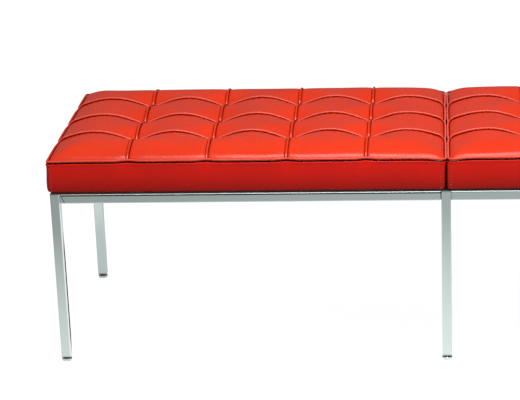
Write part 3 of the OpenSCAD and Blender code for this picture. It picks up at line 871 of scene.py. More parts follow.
def dust_cloth_material(name, colour):
    """Spun-bonded cloth, pressed in a small diamond pattern."""
    material, shader, place = new_material(name, 0.85)
    shader.inputs["Sheen Weight"].default_value = 0.15
    turned = node_at(material, "ShaderNodeMapping", place,
                     values={"Rotation": (0, 0, math.radians(45))})["Vector"]
    cells = node_at(material, "ShaderNodeTexVoronoi", turned,
                    values={"Scale": 620, "Randomness": 0.05})["Distance"]
    fibres = noise_at(material, stretched(material, place, (1500, 380, 900)), 1, detail=3,
                      rough=0.7)
    pressed = bump(material, cells, 0.12 * MM, strength=0.6)
    woven = bump(material, fibres, 0.08 * MM, strength=0.5, under=pressed)
    return dressed(material, shader, toned(material, fibres, colour, 0.6, 1.8), woven)


def material_once(name, make, *values):
    """A material by name, made the first time that it is asked for."""
    return bpy.data.materials.get(name) or make(name, *values)


# Each leather's colour setting, its gloss and the change of its roughness
LEATHERS = {
    "cord": ("top_colour", 0.25, -0.03),
    "top": ("top_colour", 0.33, 0.0),
    "band": ("band_colour", 0.15, 0.0),
}


def leather(scene, kind):
    """The leather of the covered cords, of the tops or of the side bands."""
    finish = scene.bench_leather
    colour, gloss, smoother = LEATHERS[kind]
    return material_once(f"{kind}_leather_finish", leather_material, getattr(finish, colour),
                         finish, gloss, smoother)


FOOT_CHROME_COLOUR = (0.78, 0.8, 0.8)
FOOT_CHROME_ROUGHNESS = 0.12
DARK_STEEL_COLOUR = (0.06, 0.06, 0.065)
DARK_STEEL_ROUGHNESS = 0.32
ZINC_COLOUR = (0.62, 0.63, 0.62)
ZINC_ROUGHNESS = 0.35
NYLON_COLOUR = (0.86, 0.86, 0.84)
PLYWOOD_COLOUR = (0.62, 0.45, 0.26)
GLUE_COLOUR = (0.22, 0.12, 0.06)
FOAM_COLOUR = (0.86, 0.78, 0.52)
TWINE_COLOUR = (0.74, 0.68, 0.54)
THREAD_GLOSS = 0.2
# The needle holes are near-black capsules between the stitches: painted shade standing for the
# shade inside each hole.
HOLE_SHADE_COLOUR = (0.03, 0.002, 0.004)
HOLE_GLOSS = 0.0
CLOTH_COLOUR = (0.03, 0.03, 0.035)


def dark_steel():
    """Blackened steel of the stems, the screws and the spigots."""
    return material_once("dark_steel_finish", steel_material, DARK_STEEL_COLOUR,
                         DARK_STEEL_ROUGHNESS)


def zinc_steel():
    """Zinc-plated steel of the tee nuts and the staples."""
    return material_once("zinc_finish", steel_material, ZINC_COLOUR, ZINC_ROUGHNESS)


def give_material(piece, material):
    """One material all over a new piece."""
    piece.data.materials.clear()
    piece.data.materials.append(material)


def refinish_node(node, material):
    """A better material in a CAD node's own slots."""
    thing = frame["nodes"][node]
    if not thing.material_slots:
        thing.data.materials.append(material)
    for place in thing.material_slots:
        place.material = material


# Pieces

TOP_STEP = 3.6 * MM
SEAM_STEPS_MM = [0, 0.8, 1.6, 2.4, 3.1, 3.9, 4.8, 6.0, 7.8, 10.5]
RIM_INSETS_MM = [0, 0.5, 1.2, 2.2, 3.6, 5.4, 7.6]


def top_places(half, seams):
    """Places across the tufted top, close together at its seams and edges."""
    beside = [s * MM for s in SEAM_STEPS_MM]
    fixed = [seam + sign * step for seam in seams for step in beside for sign in (-1, 1)]
    fixed += [sign * (half - inset * MM) for inset in RIM_INSETS_MM for sign in (-1, 1)]
    fixed = np.unique(np.round(fixed, 7))
    places = [fixed[:1]]
    for low, high in zip(fixed, fixed[1:]):
        count = max(1, round((high - low) / TOP_STEP))
        places.append(np.linspace(low, high, count + 1)[1:])
    return np.concatenate(places)


PAD_CORNER_R = 5 * MM
RIM_SHADE = 0.7 * MM
TOP_SEEDS = {"left": 3.0, "right": 8.0}


def round_corners(x, y, cushion):
    """Places near the top's four corners, moved from a square corner onto a round one."""
    u = np.clip((np.abs(x) - cushion.pad_half_l + PAD_CORNER_R) / PAD_CORNER_R, 0, 1)
    v = np.clip((np.abs(y) - cushion.pad_half_d + PAD_CORNER_R) / PAD_CORNER_R, 0, 1)
    back_x = PAD_CORNER_R * u * (1 - np.sqrt(1 - v ** 2 / 2))
    back_y = PAD_CORNER_R * v * (1 - np.sqrt(1 - u ** 2 / 2))
    return x - np.sign(x) * back_x, y - np.sign(y) * back_y


def top_height(x, y, cushion):
    """Height of the finished top, with its grooves and gathers."""
    return (crown(x, y, cushion) - groove(x, y, cushion)
            + rolled(x, y, cushion) * puckers(x, y, cushion))


def tufted_top(cushion, material):
    """Crowned leather top, drawn down at each tuft, over its flat underside."""
    xs = top_places(cushion.pad_half_l, cushion.seam_xs)
    ys = top_places(cushion.pad_half_d, cushion.seam_ys)
    x, y = (values.ravel() for values in np.meshgrid(xs, ys))
    seed = TOP_SEEDS[cushion.side]
    z = (top_height(x, y, cushion)
         + rolled(x, y, cushion) * lumps(np.column_stack([x, y]), seed))
    rx, ry = round_corners(x, y, cushion)
    top = drawn(np.column_stack([rx, ry, z]), cushion)
    nx, ny = len(xs), len(ys)
    rim = (list(range(nx)) + [j * nx + nx - 1 for j in range(1, ny)]
           + [(ny - 1) * nx + i for i in range(nx - 2, -1, -1)]
           + [j * nx for j in range(ny - 2, 0, -1)])
    base = top[rim].copy()
    base[:, 2] = cushion.band_z
    first = len(top)
    count = len(rim)
    faces = grid_faces(nx, ny)
    for m in range(count):
        n = (m + 1) % count
        faces.append([rim[m], first + m, first + n, rim[n]])
    faces.append([first + m for m in range(count)][::-1])
    # Painted shade: a thin dark line along the rim beside the piping, and the wall under the rim
    # dark all over.
    from_edge = np.minimum(cushion.pad_half_l - np.abs(x), cushion.pad_half_d - np.abs(y))
    edge_shade = fade(from_edge, RIM_SHADE)
    shades = np.concatenate([np.maximum(seam_shade(x, y, cushion), edge_shade), np.ones(count)])
    piece = leather_piece(f"{cushion.side}_tufted_top", np.vstack([top, base]), faces, shades,
                          cushion, material)
    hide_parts(f"{cushion.side}_tufted_pad")
    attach(piece, "frame")


# Strength of the painted highlight along the long cords' tops and at the short cords' ends.
LONG_CREST_HIGHLIGHT = 1.7
END_HIGHLIGHT = 2.8
END_HIGHLIGHT_REACH = 5 * MM
WELT_SIDES = 12
WELT_STEP = 2.4 * MM
LONG_WELT_LIFT = 2.2 * MM
SHORT_WELT_LIFT = 1.0 * MM
LONG_WELT_FULLER = 0.3 * MM
TUFT_DIP = 3.2 * MM
TUFT_REACH = 7 * MM
END_DIP = 2.4 * MM
END_REACH = 6 * MM
END_ROUND = 1.8 * MM
END_THIN = 0.75
PAST_EDGE = 0.5 * MM
FRONT_END_GAP = 11 * MM
BACK_END_GAP = 2.6 * MM
WELT_GATHER_PITCH = 7 * MM
CORD_GATHER = 0.025


def gathered(points, pitch):
    """How thick a covered cord is along its points, where its leather gathers, as a share."""
    steps = np.linalg.norm(np.diff(points, axis=0), axis=1)
    along = np.concatenate([[0], np.cumsum(steps)])
    return 1 + CORD_GATHER * np.sin(2 * math.pi * along / pitch)


def cord_shades(fold, crest, painted_highlight):
    """Painted light of a covered cord, ring by ring: painted shade in its folds, and a pale
    painted highlight on its crest as strong as each ring's highlight amount."""
    return (fold[None, :] - painted_highlight[:, None] * crest[None, :]).ravel()


def surface_line(start, end, cushion):
    """Places along a straight line over the top, and the crown's heights there."""
    length = math.hypot(end[0] - start[0], end[1] - start[1])
    count = max(4, round(length / WELT_STEP))
    share = np.linspace(0, 1, count + 1)
    x = start[0] + share * (end[0] - start[0])
    y = start[1] + share * (end[1] - start[1])
    return x, y, crown(x, y, cushion)


def welt(cushion, start, end, dips, radius, lift, tufts=()):
    """Points, faces and shades of one covered cord along a seam. dips are the depths by which
    its ends go down into the top, lift is the height of its middle over the crown, and tufts are
    the places where it is drawn down."""
    x, y, z = surface_line(start, end, cushion)
    points = np.column_stack([x, y, z + lift])
    for tuft in tufts:
        points[:, 2] -= TUFT_DIP * fade(x - tuft, TUFT_REACH)
    points = drawn(points, cushion)
    from_start = np.linalg.norm(points - points[0], axis=1)
    from_end = np.linalg.norm(points - points[-1], axis=1)
    points[:, 2] -= dips[0] * fade(from_start, END_REACH)
    points[:, 2] -= dips[1] * fade(from_end, END_REACH)
    ahead = np.gradient(points, axis=0)
    ahead /= np.linalg.norm(ahead, axis=1)[:, None]
    level = np.array([ahead[:, 1], -ahead[:, 0], np.zeros(len(points))]).T
    level /= np.linalg.norm(level, axis=1)[:, None]
    up = np.cross(level, ahead)
    nearest = np.minimum(from_start, from_end)
    ends = np.clip(nearest / END_ROUND, 0, 1)
    radii = (radius * gathered(points, WELT_GATHER_PITCH)
             * np.sqrt(1 - END_THIN * (1 - ends) ** 2))
    rings, faces = tube(points, level, up, radii, WELT_SIDES, closed=False)
    # Painted shade on each ring's lower side and a painted highlight along its top.
    rise = np.sin(ring_turns(WELT_SIDES))
    fold = np.clip(1.5 - 2 * rise, 0, 1)
    crest = np.clip(3 * rise - 1.8, 0, 1)
    if tufts:
        painted_highlight = np.full(len(points), LONG_CREST_HIGHLIGHT)
    else:
        painted_highlight = END_HIGHLIGHT * fade(nearest, END_HIGHLIGHT_REACH)
    return rings, faces, cord_shades(fold, crest, painted_highlight)


def merged(parts):
    """The points, faces and shades of several parts as one."""
    points, faces, shades, first = [], [], [], 0
    for some_points, some_faces, some_shades in parts:
        points.append(some_points)
        shades.append(some_shades)
        faces += [[index + first for index in face] for face in some_faces]
        first += len(some_points)
    return np.vstack(points), faces, np.concatenate(shades)


def finish_welts(name, parts, cushion, material, node):
    """One piece of a cushion's welts in one direction."""
    points, faces, shades = merged(parts)
    piece = leather_piece(name, points, faces, shades, cushion, material)
    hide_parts(node)
    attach(piece, "frame")


def long_welts(cushion, material):
    """Covered cords in the seams that run the length of a cushion."""
    end = cushion.pad_half_l + PAST_EDGE
    radius = cushion.cut.welt_diameter / 2 + LONG_WELT_FULLER
    dips = (LONG_WELT_LIFT, LONG_WELT_LIFT)
    parts = [welt(cushion, (-end, y), (end, y), dips, radius, LONG_WELT_LIFT, cushion.seam_xs)
             for y in cushion.seam_ys]
    finish_welts(f"{cushion.side}_long_welt", parts, cushion, material,
                 f"{cushion.side}_long_welts")


def short_welts(cushion, material):
    """Covered cords from front to back, cut to one length for each row of panels."""
    radius = cushion.cut.welt_diameter / 2
    end = cushion.pad_half_d + PAST_EDGE
    stops = [-end, *cushion.seam_ys, end]
    parts = []
    for x in cushion.seam_xs:
        for row, (front, back) in enumerate(zip(stops, stops[1:])):
            at_front = row == 0
            at_back = row == len(stops) - 2
            front += 0 if at_front else FRONT_END_GAP
            back -= 0 if at_back else BACK_END_GAP
            dips = (0 if at_front else END_DIP, 0 if at_back else END_DIP / 2)
            parts.append(welt(cushion, (x, front), (x, back), dips, radius, SHORT_WELT_LIFT))
    finish_welts(f"{cushion.side}_short_welt", parts, cushion, material,
                 f"{cushion.side}_short_welts")


PIPING_SIDES = 16
PIPING_STEP = 3 * MM
PIPING_GATHER_PITCH = 8 * MM
PIPING_R = 2.35 * MM
PIPING_RISE = 0.8 * MM
# Strength of the piping's painted highlight on the cushions' inner ends and along the front.
INNER_HIGHLIGHT = 0.9
FRONT_HIGHLIGHT = 0.5
FACING = 0.7


def top_piping(cushion, material):
    """Covered cord sewn round the top edge, drawn in at the seams' ends."""
    feet, outs = outline(cushion.half_l, cushion.half_d, CORNER_R, PIPING_STEP)
    line = feet + outs * (CORNER_R - PIPING_R)
    points = np.column_stack([line, np.full(len(line), cushion.pipe_z + PIPING_RISE)])
    points = drawn(points, cushion)
    outs3 = np.column_stack([outs, np.zeros(len(outs))])
    ups = np.tile([0.0, 0.0, 1.0], (len(outs), 1))
    radii = PIPING_R * gathered(points, PIPING_GATHER_PITCH)
    tube_points, faces = tube(points, outs3, ups, radii, PIPING_SIDES, closed=True)
    turns = ring_turns(PIPING_SIDES)
    # Painted shade under the piping and on its inner side, and a painted highlight along its top.
    under = np.clip(-4 * np.sin(turns) - 0.9, 0, 2)
    crest = np.clip(3 * np.sin(turns + 0.4) - 1.6, 0, 1)
    within = np.clip(-2.5 * np.cos(turns) - 1.2, 0, 1)
    is_inner = outs[:, 0] * cushion.inward > FACING
    is_front = outs[:, 1] < -FACING
    painted_highlight = np.where(is_inner, INNER_HIGHLIGHT, np.where(is_front, FRONT_HIGHLIGHT, 0))
    shades = cord_shades(np.maximum(under, within), crest, painted_highlight)
    piece = leather_piece(f"{cushion.side}_piping", tube_points, faces, shades, cushion,
                          material)
    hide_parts(f"{cushion.side}_top_piping")
    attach(piece, "frame")


BAND_STEP = 5 * MM
SIDE_BULGE = 2.0 * MM
INNER_BULGE = 1.4 * MM
OUTER_BULGE = 5.6 * MM
BULGE_POWER = 0.6
OUTER_BULGE_POWER = 0.35
OUTER_BULGE_SCALE = 1.75
INNER_FADE_REACH = 40 * MM
INNER_LEAST = 0.35
BAND_RIPPLE = 0.35 * MM
RIPPLE_LENGTH = 50 * MM
RIPPLE_HEIGHT = 90 * MM
BAND_SEEDS = {"left": 21.0, "right": 34.0}
BAND_HOLD_POWER = 5
BAND_UPRIGHT_STEPS = 14
LIP_STEPS = 5
LIP_DROP = 1.3 * MM
LIP_OUT = 0.9 * MM
LIP_OUT_REACH = 5 * MM
LIP_R = 1.4 * MM
LIP_TUCK = 8.0 * MM
# Painted shade on the bands: near black in the gap where the cushions meet, darker towards the
# bottom, and dark at the outer front corners.
INNER_SHADE = 2.0
LOW_BAND_SHADE = 0.85
OUTER_SHADE = 1.5
OUTER_SHADE_REACH = 24 * MM


def band_cut(height):
    """The side band's outer line as (inset from the face, height above its lower edge, shade):
    the hem under the board, a quarter turn, the upright face and the lip under the piping."""
    # The third value is painted shade: some at the hem's turn, and near black in the tuck under
    # the piping.
    hem = [(HEM_W, 0, 0), (HEM_W * 0.6, 0, 0), (HEM_R * 3, 0, 0), (HEM_R, 0, 0.6)]
    turn = [(HEM_R * (1 - math.sin(a)), HEM_R * (1 - math.cos(a)), 0)
            for a in np.radians([22, 45, 68, 90])]
    lip_z = height - LIP_DROP
    top_z = lip_z - LIP_R
    places = [*np.linspace(HEM_R, top_z - LIP_OUT_REACH, BAND_UPRIGHT_STEPS)[1:],
              *np.linspace(top_z - LIP_OUT_REACH, top_z, LIP_STEPS)[1:]]
    face = [(-LIP_OUT * np.clip(1 - (top_z - z) / LIP_OUT_REACH, 0, 1) ** 2, z, 0)
            for z in places]
    lip = [(LIP_R * (1 - math.cos(a)) - LIP_OUT, lip_z - LIP_R * (1 - math.sin(a)), 0)
           for a in np.radians([30, 60, 90])]
    behind = LIP_R - LIP_OUT
    tuck = [(behind + 0.5 * MM, lip_z, 0.8), (behind + 1.1 * MM, lip_z, 2),
            (LIP_TUCK, lip_z, 2)]
    return hem + turn + face + lip + tuck


def band_share(rise, height):
    """Share of the band's upright face that lies below a rise."""
    foot = HEM_R / 3
    return np.clip((rise - foot) / (height - foot), 0, 1)


def face_bulge(feet, outs, share, cushion):
    """Distance by which the band stands out at a share of its height: most low down at the
    bench's ends, and enough between the cushions for them to touch."""
    if not 0 < share < 1:
        return np.zeros(len(feet))
    even = math.sin(math.pi * share) ** BULGE_POWER
    low = share ** OUTER_BULGE_POWER * (1 - share) * OUTER_BULGE_SCALE
    is_end = np.abs(outs[:, 0]) > FACING
    is_inner = is_end & (outs[:, 0] * cushion.inward > 0)
    from_front = np.clip((cushion.half_d + feet[:, 1]) / INNER_FADE_REACH, 0, 1)
    side = np.abs(outs[:, 1]) * SIDE_BULGE * even
    inner = INNER_BULGE * even * (INNER_LEAST + (1 - INNER_LEAST) * from_front)
    outer = OUTER_BULGE * min(1.0, low)
    return np.where(is_inner, inner, np.where(is_end, outer * np.abs(outs[:, 0]), side))


def inset_line(feet, outs, inset, cushion):
    """The cushion's outline moved in, round at its corners or mitred further in."""
    if inset < CORNER_R:
        return feet + outs * (CORNER_R - inset)
    straight = feet + outs * CORNER_R
    return np.column_stack([
        np.clip(straight[:, 0], inset - cushion.half_l, cushion.half_l - inset),
        np.clip(straight[:, 1], inset - cushion.half_d, cushion.half_d - inset),
    ])


def side_band(cushion, material):
    """Leather band round a cushion, its lower edge turned under the board."""
    height = cushion.band_z - cushion.low_z
    feet, outs = outline(cushion.half_l, cushion.half_d, CORNER_R, BAND_STEP)
    count = len(feet)
    seed = BAND_SEEDS[cushion.side]
    rows = []
    shades = []
    for inset, rise, dark in band_cut(height):
        line = inset_line(feet, outs, inset, cushion)
        share = band_share(rise, height)
        ripple = np.array([noise.noise(Vector((x / RIPPLE_LENGTH, y / RIPPLE_LENGTH,
                                               seed + rise / RIPPLE_HEIGHT)))
                           for x, y in line])
        bulge = face_bulge(feet, outs, share, cushion)
        line = line + outs * (bulge + BAND_RIPPLE * ripple * share * (1 - share) * 4)[:, None]
        points = np.column_stack([line, np.full(count, cushion.low_z + rise)])
        rows.append(drawn(points, cushion, hold=share ** BAND_HOLD_POWER))
        # Painted shade: the band darkens towards its bottom, in the gap between the cushions and
        # at its outer front corners.
        dark = max(dark, LOW_BAND_SHADE * (1 - share) ** 2)
        hidden = INNER_SHADE * np.clip(5 * outs[:, 0] * cushion.inward - 3.5, 0, 1)
        at_front = fade(cushion.half_d + feet[:, 1], OUTER_SHADE_REACH)
        corner = (OUTER_SHADE * at_front
                  * np.clip(-3 * outs[:, 0] * cushion.inward - 2, 0, 1))
        shades += np.maximum(dark, np.maximum(hidden, corner)).tolist()
    faces = wall_faces(len(rows), count)
    piece = leather_piece(f"{cushion.side}_side_band", np.vstack(rows), faces, shades, cushion,
                          material, angle=50, thickness=LEATHER_T)
    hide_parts(f"{cushion.side}_boxing")
    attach(piece, "frame")


STITCH_INSET = 8.0 * MM
OUTER_STITCH_INSET = 5.0 * MM
STITCH_LENGTH = 3.2 * MM
HOLE_LENGTH = 2.8 * MM
STITCH_R = 1.0 * MM
STITCH_PROUD = 0.6 * MM
HOLE_R = 1.3 * MM
HOLE_PROUD = 0.4 * MM
STITCH_MARGIN = 5 * MM


def stitch(name, length, radius):
    """One stitch or needle hole: a short upright capsule, modelled at the origin."""
    made = primitive(name, bpy.ops.mesh.primitive_uv_sphere_add, segments=8, ring_count=6,
                     radius=radius)
    bpy.ops.object.mode_set(mode="EDIT")
    bpy.ops.mesh.select_all(action="SELECT")
    stretch = length / (2 * radius)
    bpy.ops.transform.resize(value=(1, 1, stretch), center_override=(0, 0, 0))
    bpy.ops.object.mode_set(mode="OBJECT")
    return made


def stitch_places(cushion, proud, first):
    """Places beside a cushion's four corner seams, proud of the band by a distance."""
    height = cushion.band_z - cushion.low_z
    rises = np.arange(STITCH_MARGIN + first, height - STITCH_MARGIN, cushion.cut.stitch_pitch)
    shares = band_share(rises, height)
    outs = cushion.half_d + SIDE_BULGE * np.sin(math.pi * shares) ** BULGE_POWER + proud
    places = []
    for sx in (-1, 1):
        inset = STITCH_INSET if sx * cushion.inward > 0 else OUTER_STITCH_INSET
        along = np.full(len(rises), sx * (cushion.half_l - inset))
        for sy in (-1, 1):
            points = np.column_stack([along, sy * outs, cushion.low_z + rises])
            places += drawn(points, cushion, shares ** BAND_HOLD_POWER).tolist()
    return [cushion.middle + Vector(place) for place in places]


def stitch_row(cushion, name, length, radius, proud, first, material):
    """Stitches, or the needle holes between them, beside a cushion's four corner seams. They
    stand a little proud of the band."""
    offsets = stitch_places(cushion, proud - radius, first)
    master = stitch(name, length, radius)
    master.data.transform(Matrix.Translation(offsets[0]))
    row = join_pieces(copies_at(master, offsets), name)
    give_material(row, material)
    return row


def corner_stitching(cushion, thread, hole):
    """Upright rows of topstitching beside a cushion's four corner seams."""
    half_pitch = cushion.cut.stitch_pitch / 2
    rows = [stitch_row(cushion, "stitches", STITCH_LENGTH, STITCH_R, STITCH_PROUD, 0, thread),
            stitch_row(cushion, "needle_holes", HOLE_LENGTH, HOLE_R, HOLE_PROUD, half_pitch,
                       hole)]
    piece = join_pieces(rows, f"{cushion.side}_corner_stitching")
    smooth(piece, angle=60)
    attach(piece, "frame")


FOAM_HOLE_R = 1.1 * MM
FOAM_EDGE_R = 10 * MM


def foam_slab(cushion, material):
    """Firm foam slab, cut through for the tufting ties."""
    low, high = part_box(f"{cushion.side}_foam_core")
    middle = (low + high) / 2
    size = high - low
    slab = primitive(f"{cushion.side}_foam", bpy.ops.mesh.primitive_cube_add, size=1,
                     location=middle)
    slab.scale = size
    apply_place(slab)
    apply_modifier(slab, "BEVEL", width=FOAM_EDGE_R, segments=4)
    cutters = [
        primitive("foam_cutter", bpy.ops.mesh.primitive_cylinder_add, vertices=12,
                  radius=FOAM_HOLE_R, depth=2 * size.z,
                  location=(cushion.middle.x + x, cushion.middle.y + y, middle.z))
        for x in cushion.seam_xs for y in cushion.seam_ys]
    cutter = join_pieces(cutters, "foam_cutter")
    apply_place(cutter)
    apply_modifier(slab, "BOOLEAN", object=cutter, operation="DIFFERENCE", solver="EXACT")
    bpy.data.objects.remove(cutter)
    smooth(slab, angle=35)
    give_material(slab, material)
    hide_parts(f"{cushion.side}_foam_core")
    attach(slab, "frame")


CLOTH_SAG = 1.5 * MM
CLOTH_T = 0.5 * MM
CLOTH_CELLS = (60, 36)
CLOTH_WAVES = (4, 3)
CLOTH_SEED = 5.0
SAG_EVEN = 0.7
SAG_UNEVEN = 0.5
STAPLE_PITCH = 55 * MM
STAPLE_WIRE = 0.7 * MM
STAPLE_WIDTH = 10 * MM
STAPLE_FLATTENED = 1.6
STAPLE_INSET = 7 * MM


def dust_cloth(cushion, material):
    """Black cloth stapled over the underside, sagging a little between its edges."""
    low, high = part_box(f"{cushion.side}_dust_cover")
    cloth = primitive(f"{cushion.side}_dust_cloth", bpy.ops.mesh.primitive_grid_add,
                      x_subdivisions=CLOTH_CELLS[0], y_subdivisions=CLOTH_CELLS[1], size=1,
                      location=(0, 0, 0))
    half_x, half_y = (high.x - low.x) / 2, (high.y - low.y) / 2
    for vertex in cloth.data.vertices:
        x, y = vertex.co.x * 2, vertex.co.y * 2
        free = (1 - x ** 4) * (1 - y ** 4)
        wave = noise.noise(Vector((x * CLOTH_WAVES[0], y * CLOTH_WAVES[1], CLOTH_SEED)))
        vertex.co = ((low.x + high.x) / 2 + x * half_x, (low.y + high.y) / 2 + y * half_y,
                     high.z - CLOTH_SAG * free * (SAG_EVEN + SAG_UNEVEN * wave))
    apply_modifier(cloth, "SOLIDIFY", thickness=CLOTH_T, offset=1.0)
    clean_mesh(cloth)
    smooth(cloth, angle=50)
    give_material(cloth, material)
    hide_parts(f"{cushion.side}_dust_cover")
    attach(cloth, "frame")


def staple_row(cushion, material):
    """Staples round the edge of the dust cloth."""
    low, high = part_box(f"{cushion.side}_dust_cover")
    bar = primitive("staple", bpy.ops.mesh.primitive_cube_add, size=1, location=(0, 0, 0))
    bar.scale = (STAPLE_WIDTH, STAPLE_WIRE * STAPLE_FLATTENED, STAPLE_WIRE)
    apply_place(bar)
    apply_modifier(bar, "BEVEL", width=STAPLE_WIRE * 0.3, segments=2)
    z = high.z - CLOTH_T - STAPLE_WIRE / 2
    along, across = [], []
    half_x = (high.x - low.x) / 2 - STAPLE_INSET
    half_y = (high.y - low.y) / 2 - STAPLE_INSET
    mid = (low + high) / 2
    count_x = round(2 * half_x / STAPLE_PITCH)
    count_y = round(2 * half_y / STAPLE_PITCH)
    for k in range(count_x + 1):
        x = mid.x - half_x + 2 * half_x * k / count_x
        along += [(x, mid.y - half_y, z), (x, mid.y + half_y, z)]
    for k in range(1, count_y):
        y = mid.y - half_y + 2 * half_y * k / count_y
        across += [(mid.x - half_x, y, z), (mid.x + half_x, y, z)]
    turned = bar.copy()
    turned.data = bar.data.copy()
    turned.data.transform(Matrix.Rotation(math.pi / 2, 4, "Z"))
    bpy.context.collection.objects.link(turned)
    bar.data.transform(Matrix.Translation(along[0]))
    turned.data.transform(Matrix.Translation(across[0]))
    parts = copies_at(bar, along) + copies_at(turned, across)
    piece = join_pieces(parts, f"{cushion.side}_staples")
    smooth(piece, angle=40)
    give_material(piece, material)
    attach(piece, "frame")


THREAD_PITCH = 1.25 * MM
THREAD_DEPTH = 0.61 * MM
THREAD_LEAD = 1.2 * MM
THREAD_SIDES = 24
THREAD_STEPS_A_TURN = 8
RIDGE_SLOPE = 1.5
RIDGE_FLOOR = 0.2
STEM_R = 4 * MM
STEM_SIDES = 32
ROD_SUNK = 0.3 * MM
NECK_FOOT = 1.2 * MM
NECK_SUNK = 0.5 * MM
HEXAGON_R = 6.75 * MM
HEXAGON_H = 3 * MM
HEXAGON_GAP = 0.1 * MM
HEAD_R = 5.7 * MM
HEAD_H = 1.8 * MM


def thread_surface(bottom, top):
    """Points and faces of a threaded rod, as rings whose radius follows the helix."""
    count = round((top - bottom) / THREAD_PITCH * THREAD_STEPS_A_TURN)
    zs = np.linspace(bottom, top, count + 1)
    turns = ring_turns(THREAD_SIDES)
    phase = (zs[:, None] / THREAD_PITCH - turns[None, :] / (2 * math.pi)) % 1
    ridge = np.clip(RIDGE_SLOPE * (1 - np.abs(2 * phase - 1)) - RIDGE_FLOOR, 0, 1)
    lead = np.clip((top - zs) / THREAD_LEAD, 0, 1)[:, None]
    radius = STEM_R - THREAD_DEPTH * (1 - ridge * lead)
    points = np.stack([radius * np.cos(turns), radius * np.sin(turns),
                       np.repeat(zs[:, None], THREAD_SIDES, axis=1)], axis=2).reshape(-1, 3)
    return points, rod_faces(count + 1, THREAD_SIDES)


def turned_disc(name, place, radius, bottom, top, sides, bevel):
    """A cylinder or hexagon between two heights, its rims softened."""
    disc = primitive(name, bpy.ops.mesh.primitive_cylinder_add, vertices=sides, radius=radius,
                     depth=top - bottom, location=(place[0], place[1], (bottom + top) / 2))
    apply_place(disc)
    apply_modifier(disc, "BEVEL", width=bevel, segments=2, limit_method="ANGLE",
                   angle_limit=math.radians(50))
    return disc


def glide_stem(place, material):
    """Threaded stem with its spanner hexagon and the captive head in the foot."""
    node = f"{place}_glide_stem"
    low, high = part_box(node)
    foot_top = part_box(f"{place}_glide_foot")[1].z
    middle = (low + high) / 2
    centre = (middle.x, middle.y)
    hexagon_low = foot_top + HEXAGON_GAP
    hexagon_high = hexagon_low + HEXAGON_H
    points, faces = thread_surface(hexagon_high - ROD_SUNK, high.z)
    rod = mesh_piece(f"{place}_stem_thread", points, faces, (centre[0], centre[1], 0))
    head = turned_disc("stem_head", centre, HEAD_R, low.z, low.z + HEAD_H, STEM_SIDES,
                       bevel=0.2 * MM)
    neck = turned_disc("stem_neck", centre, STEM_R - THREAD_DEPTH, low.z + NECK_FOOT,
                       hexagon_low + NECK_SUNK, STEM_SIDES, bevel=0.1 * MM)
    hexagon = turned_disc("stem_hexagon", centre, HEXAGON_R, hexagon_low, hexagon_high, 6,
                          bevel=0.25 * MM)
    piece = join_pieces([rod, head, neck, hexagon], f"{place}_threaded_stem")
    clean_mesh(piece, 0.001 * MM)
    smooth(piece, angle=32)
    give_material(piece, material)
    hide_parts(node)
    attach(piece, f"{place}_stem")


# Stage

FLOOR_SIZE = 14.0
FLOOR_SEEN = 0.95
NEAR_GLOW = 0.62
GLOW_STRETCH = (0.55, 1.0, 0.0)
NEAR_FLOOR_R = 0.28
FAR_FLOOR_R = 1.15
LAMP_HEIGHT = 2.2
LAMP_SIZE = (1.8, 0.6)
LAMP_PLACE = (0.2, -0.85)
FRONT_LAMP_SIZE = (3.0, 1.6)
FRONT_LAMP_PLACE = (1.5, -3.2, 1.0)
FRONT_LAMP_TILT = 84
LOW_SKY = 0.15
HIGH_SKY = 0.22


def floor_material(studio):
    """Pale floor. The camera sees it white, with the bench's shadow on it, and the metal mirrors
    it brightest under the bench."""
    material = bpy.data.materials.new("studio_floor")
    material.use_nodes = True
    material.node_tree.nodes.clear()
    path = add_node(material, "ShaderNodeLightPath").outputs
    diffuse = add_node(material, "ShaderNodeBsdfDiffuse")
    grey = ranged(material, path["Is Camera Ray"], studio.floor_grey, studio.shadow_share, 0, 1)
    feed(material, grey, diffuse.inputs["Color"])
    place = stretched(material, object_place(material), GLOW_STRETCH)
    length = add_node(material, "ShaderNodeVectorMath", {"operation": "LENGTH"})
    feed(material, place, length.inputs[0])
    near = ranged(material, length.outputs["Value"], NEAR_GLOW, 0, NEAR_FLOOR_R, FAR_FLOOR_R)
    mirrored = math_node(material, "MULTIPLY", near, path["Is Glossy Ray"])
    seen = math_node(material, "MULTIPLY", path["Is Camera Ray"], FLOOR_SEEN)
    glow = add_node(material, "ShaderNodeEmission")
    feed(material, math_node(material, "ADD", mirrored, seen), glow.inputs["Strength"])
    total = add_node(material, "ShaderNodeAddShader")
    feed(material, diffuse.outputs[0], total.inputs[0])
    feed(material, glow.outputs[0], total.inputs[1])
    output = add_node(material, "ShaderNodeOutputMaterial")
    feed(material, total.outputs[0], output.inputs["Surface"])
    return material


def studio_floor(studio):
    """A wide plain floor under the bench."""
    floor = primitive("studio_floor", bpy.ops.mesh.primitive_plane_add, size=FLOOR_SIZE,
                      location=(0, 0, 0))
    give_material(floor, floor_material(studio))


def soft_lamp(name, size, place, tilt, power):
    """A rectangular lamp, shining down, or turned towards the back by an angle in degrees."""
    data = bpy.data.lights.new(name, "AREA")
    data.shape = "RECTANGLE"
    data.size, data.size_y = size
    data.energy = power
    lamp = bpy.data.objects.new(name, data)
    lamp.location = place
    lamp.rotation_euler = (math.radians(tilt), 0, 0)
    bpy.context.collection.objects.link(lamp)
    return lamp


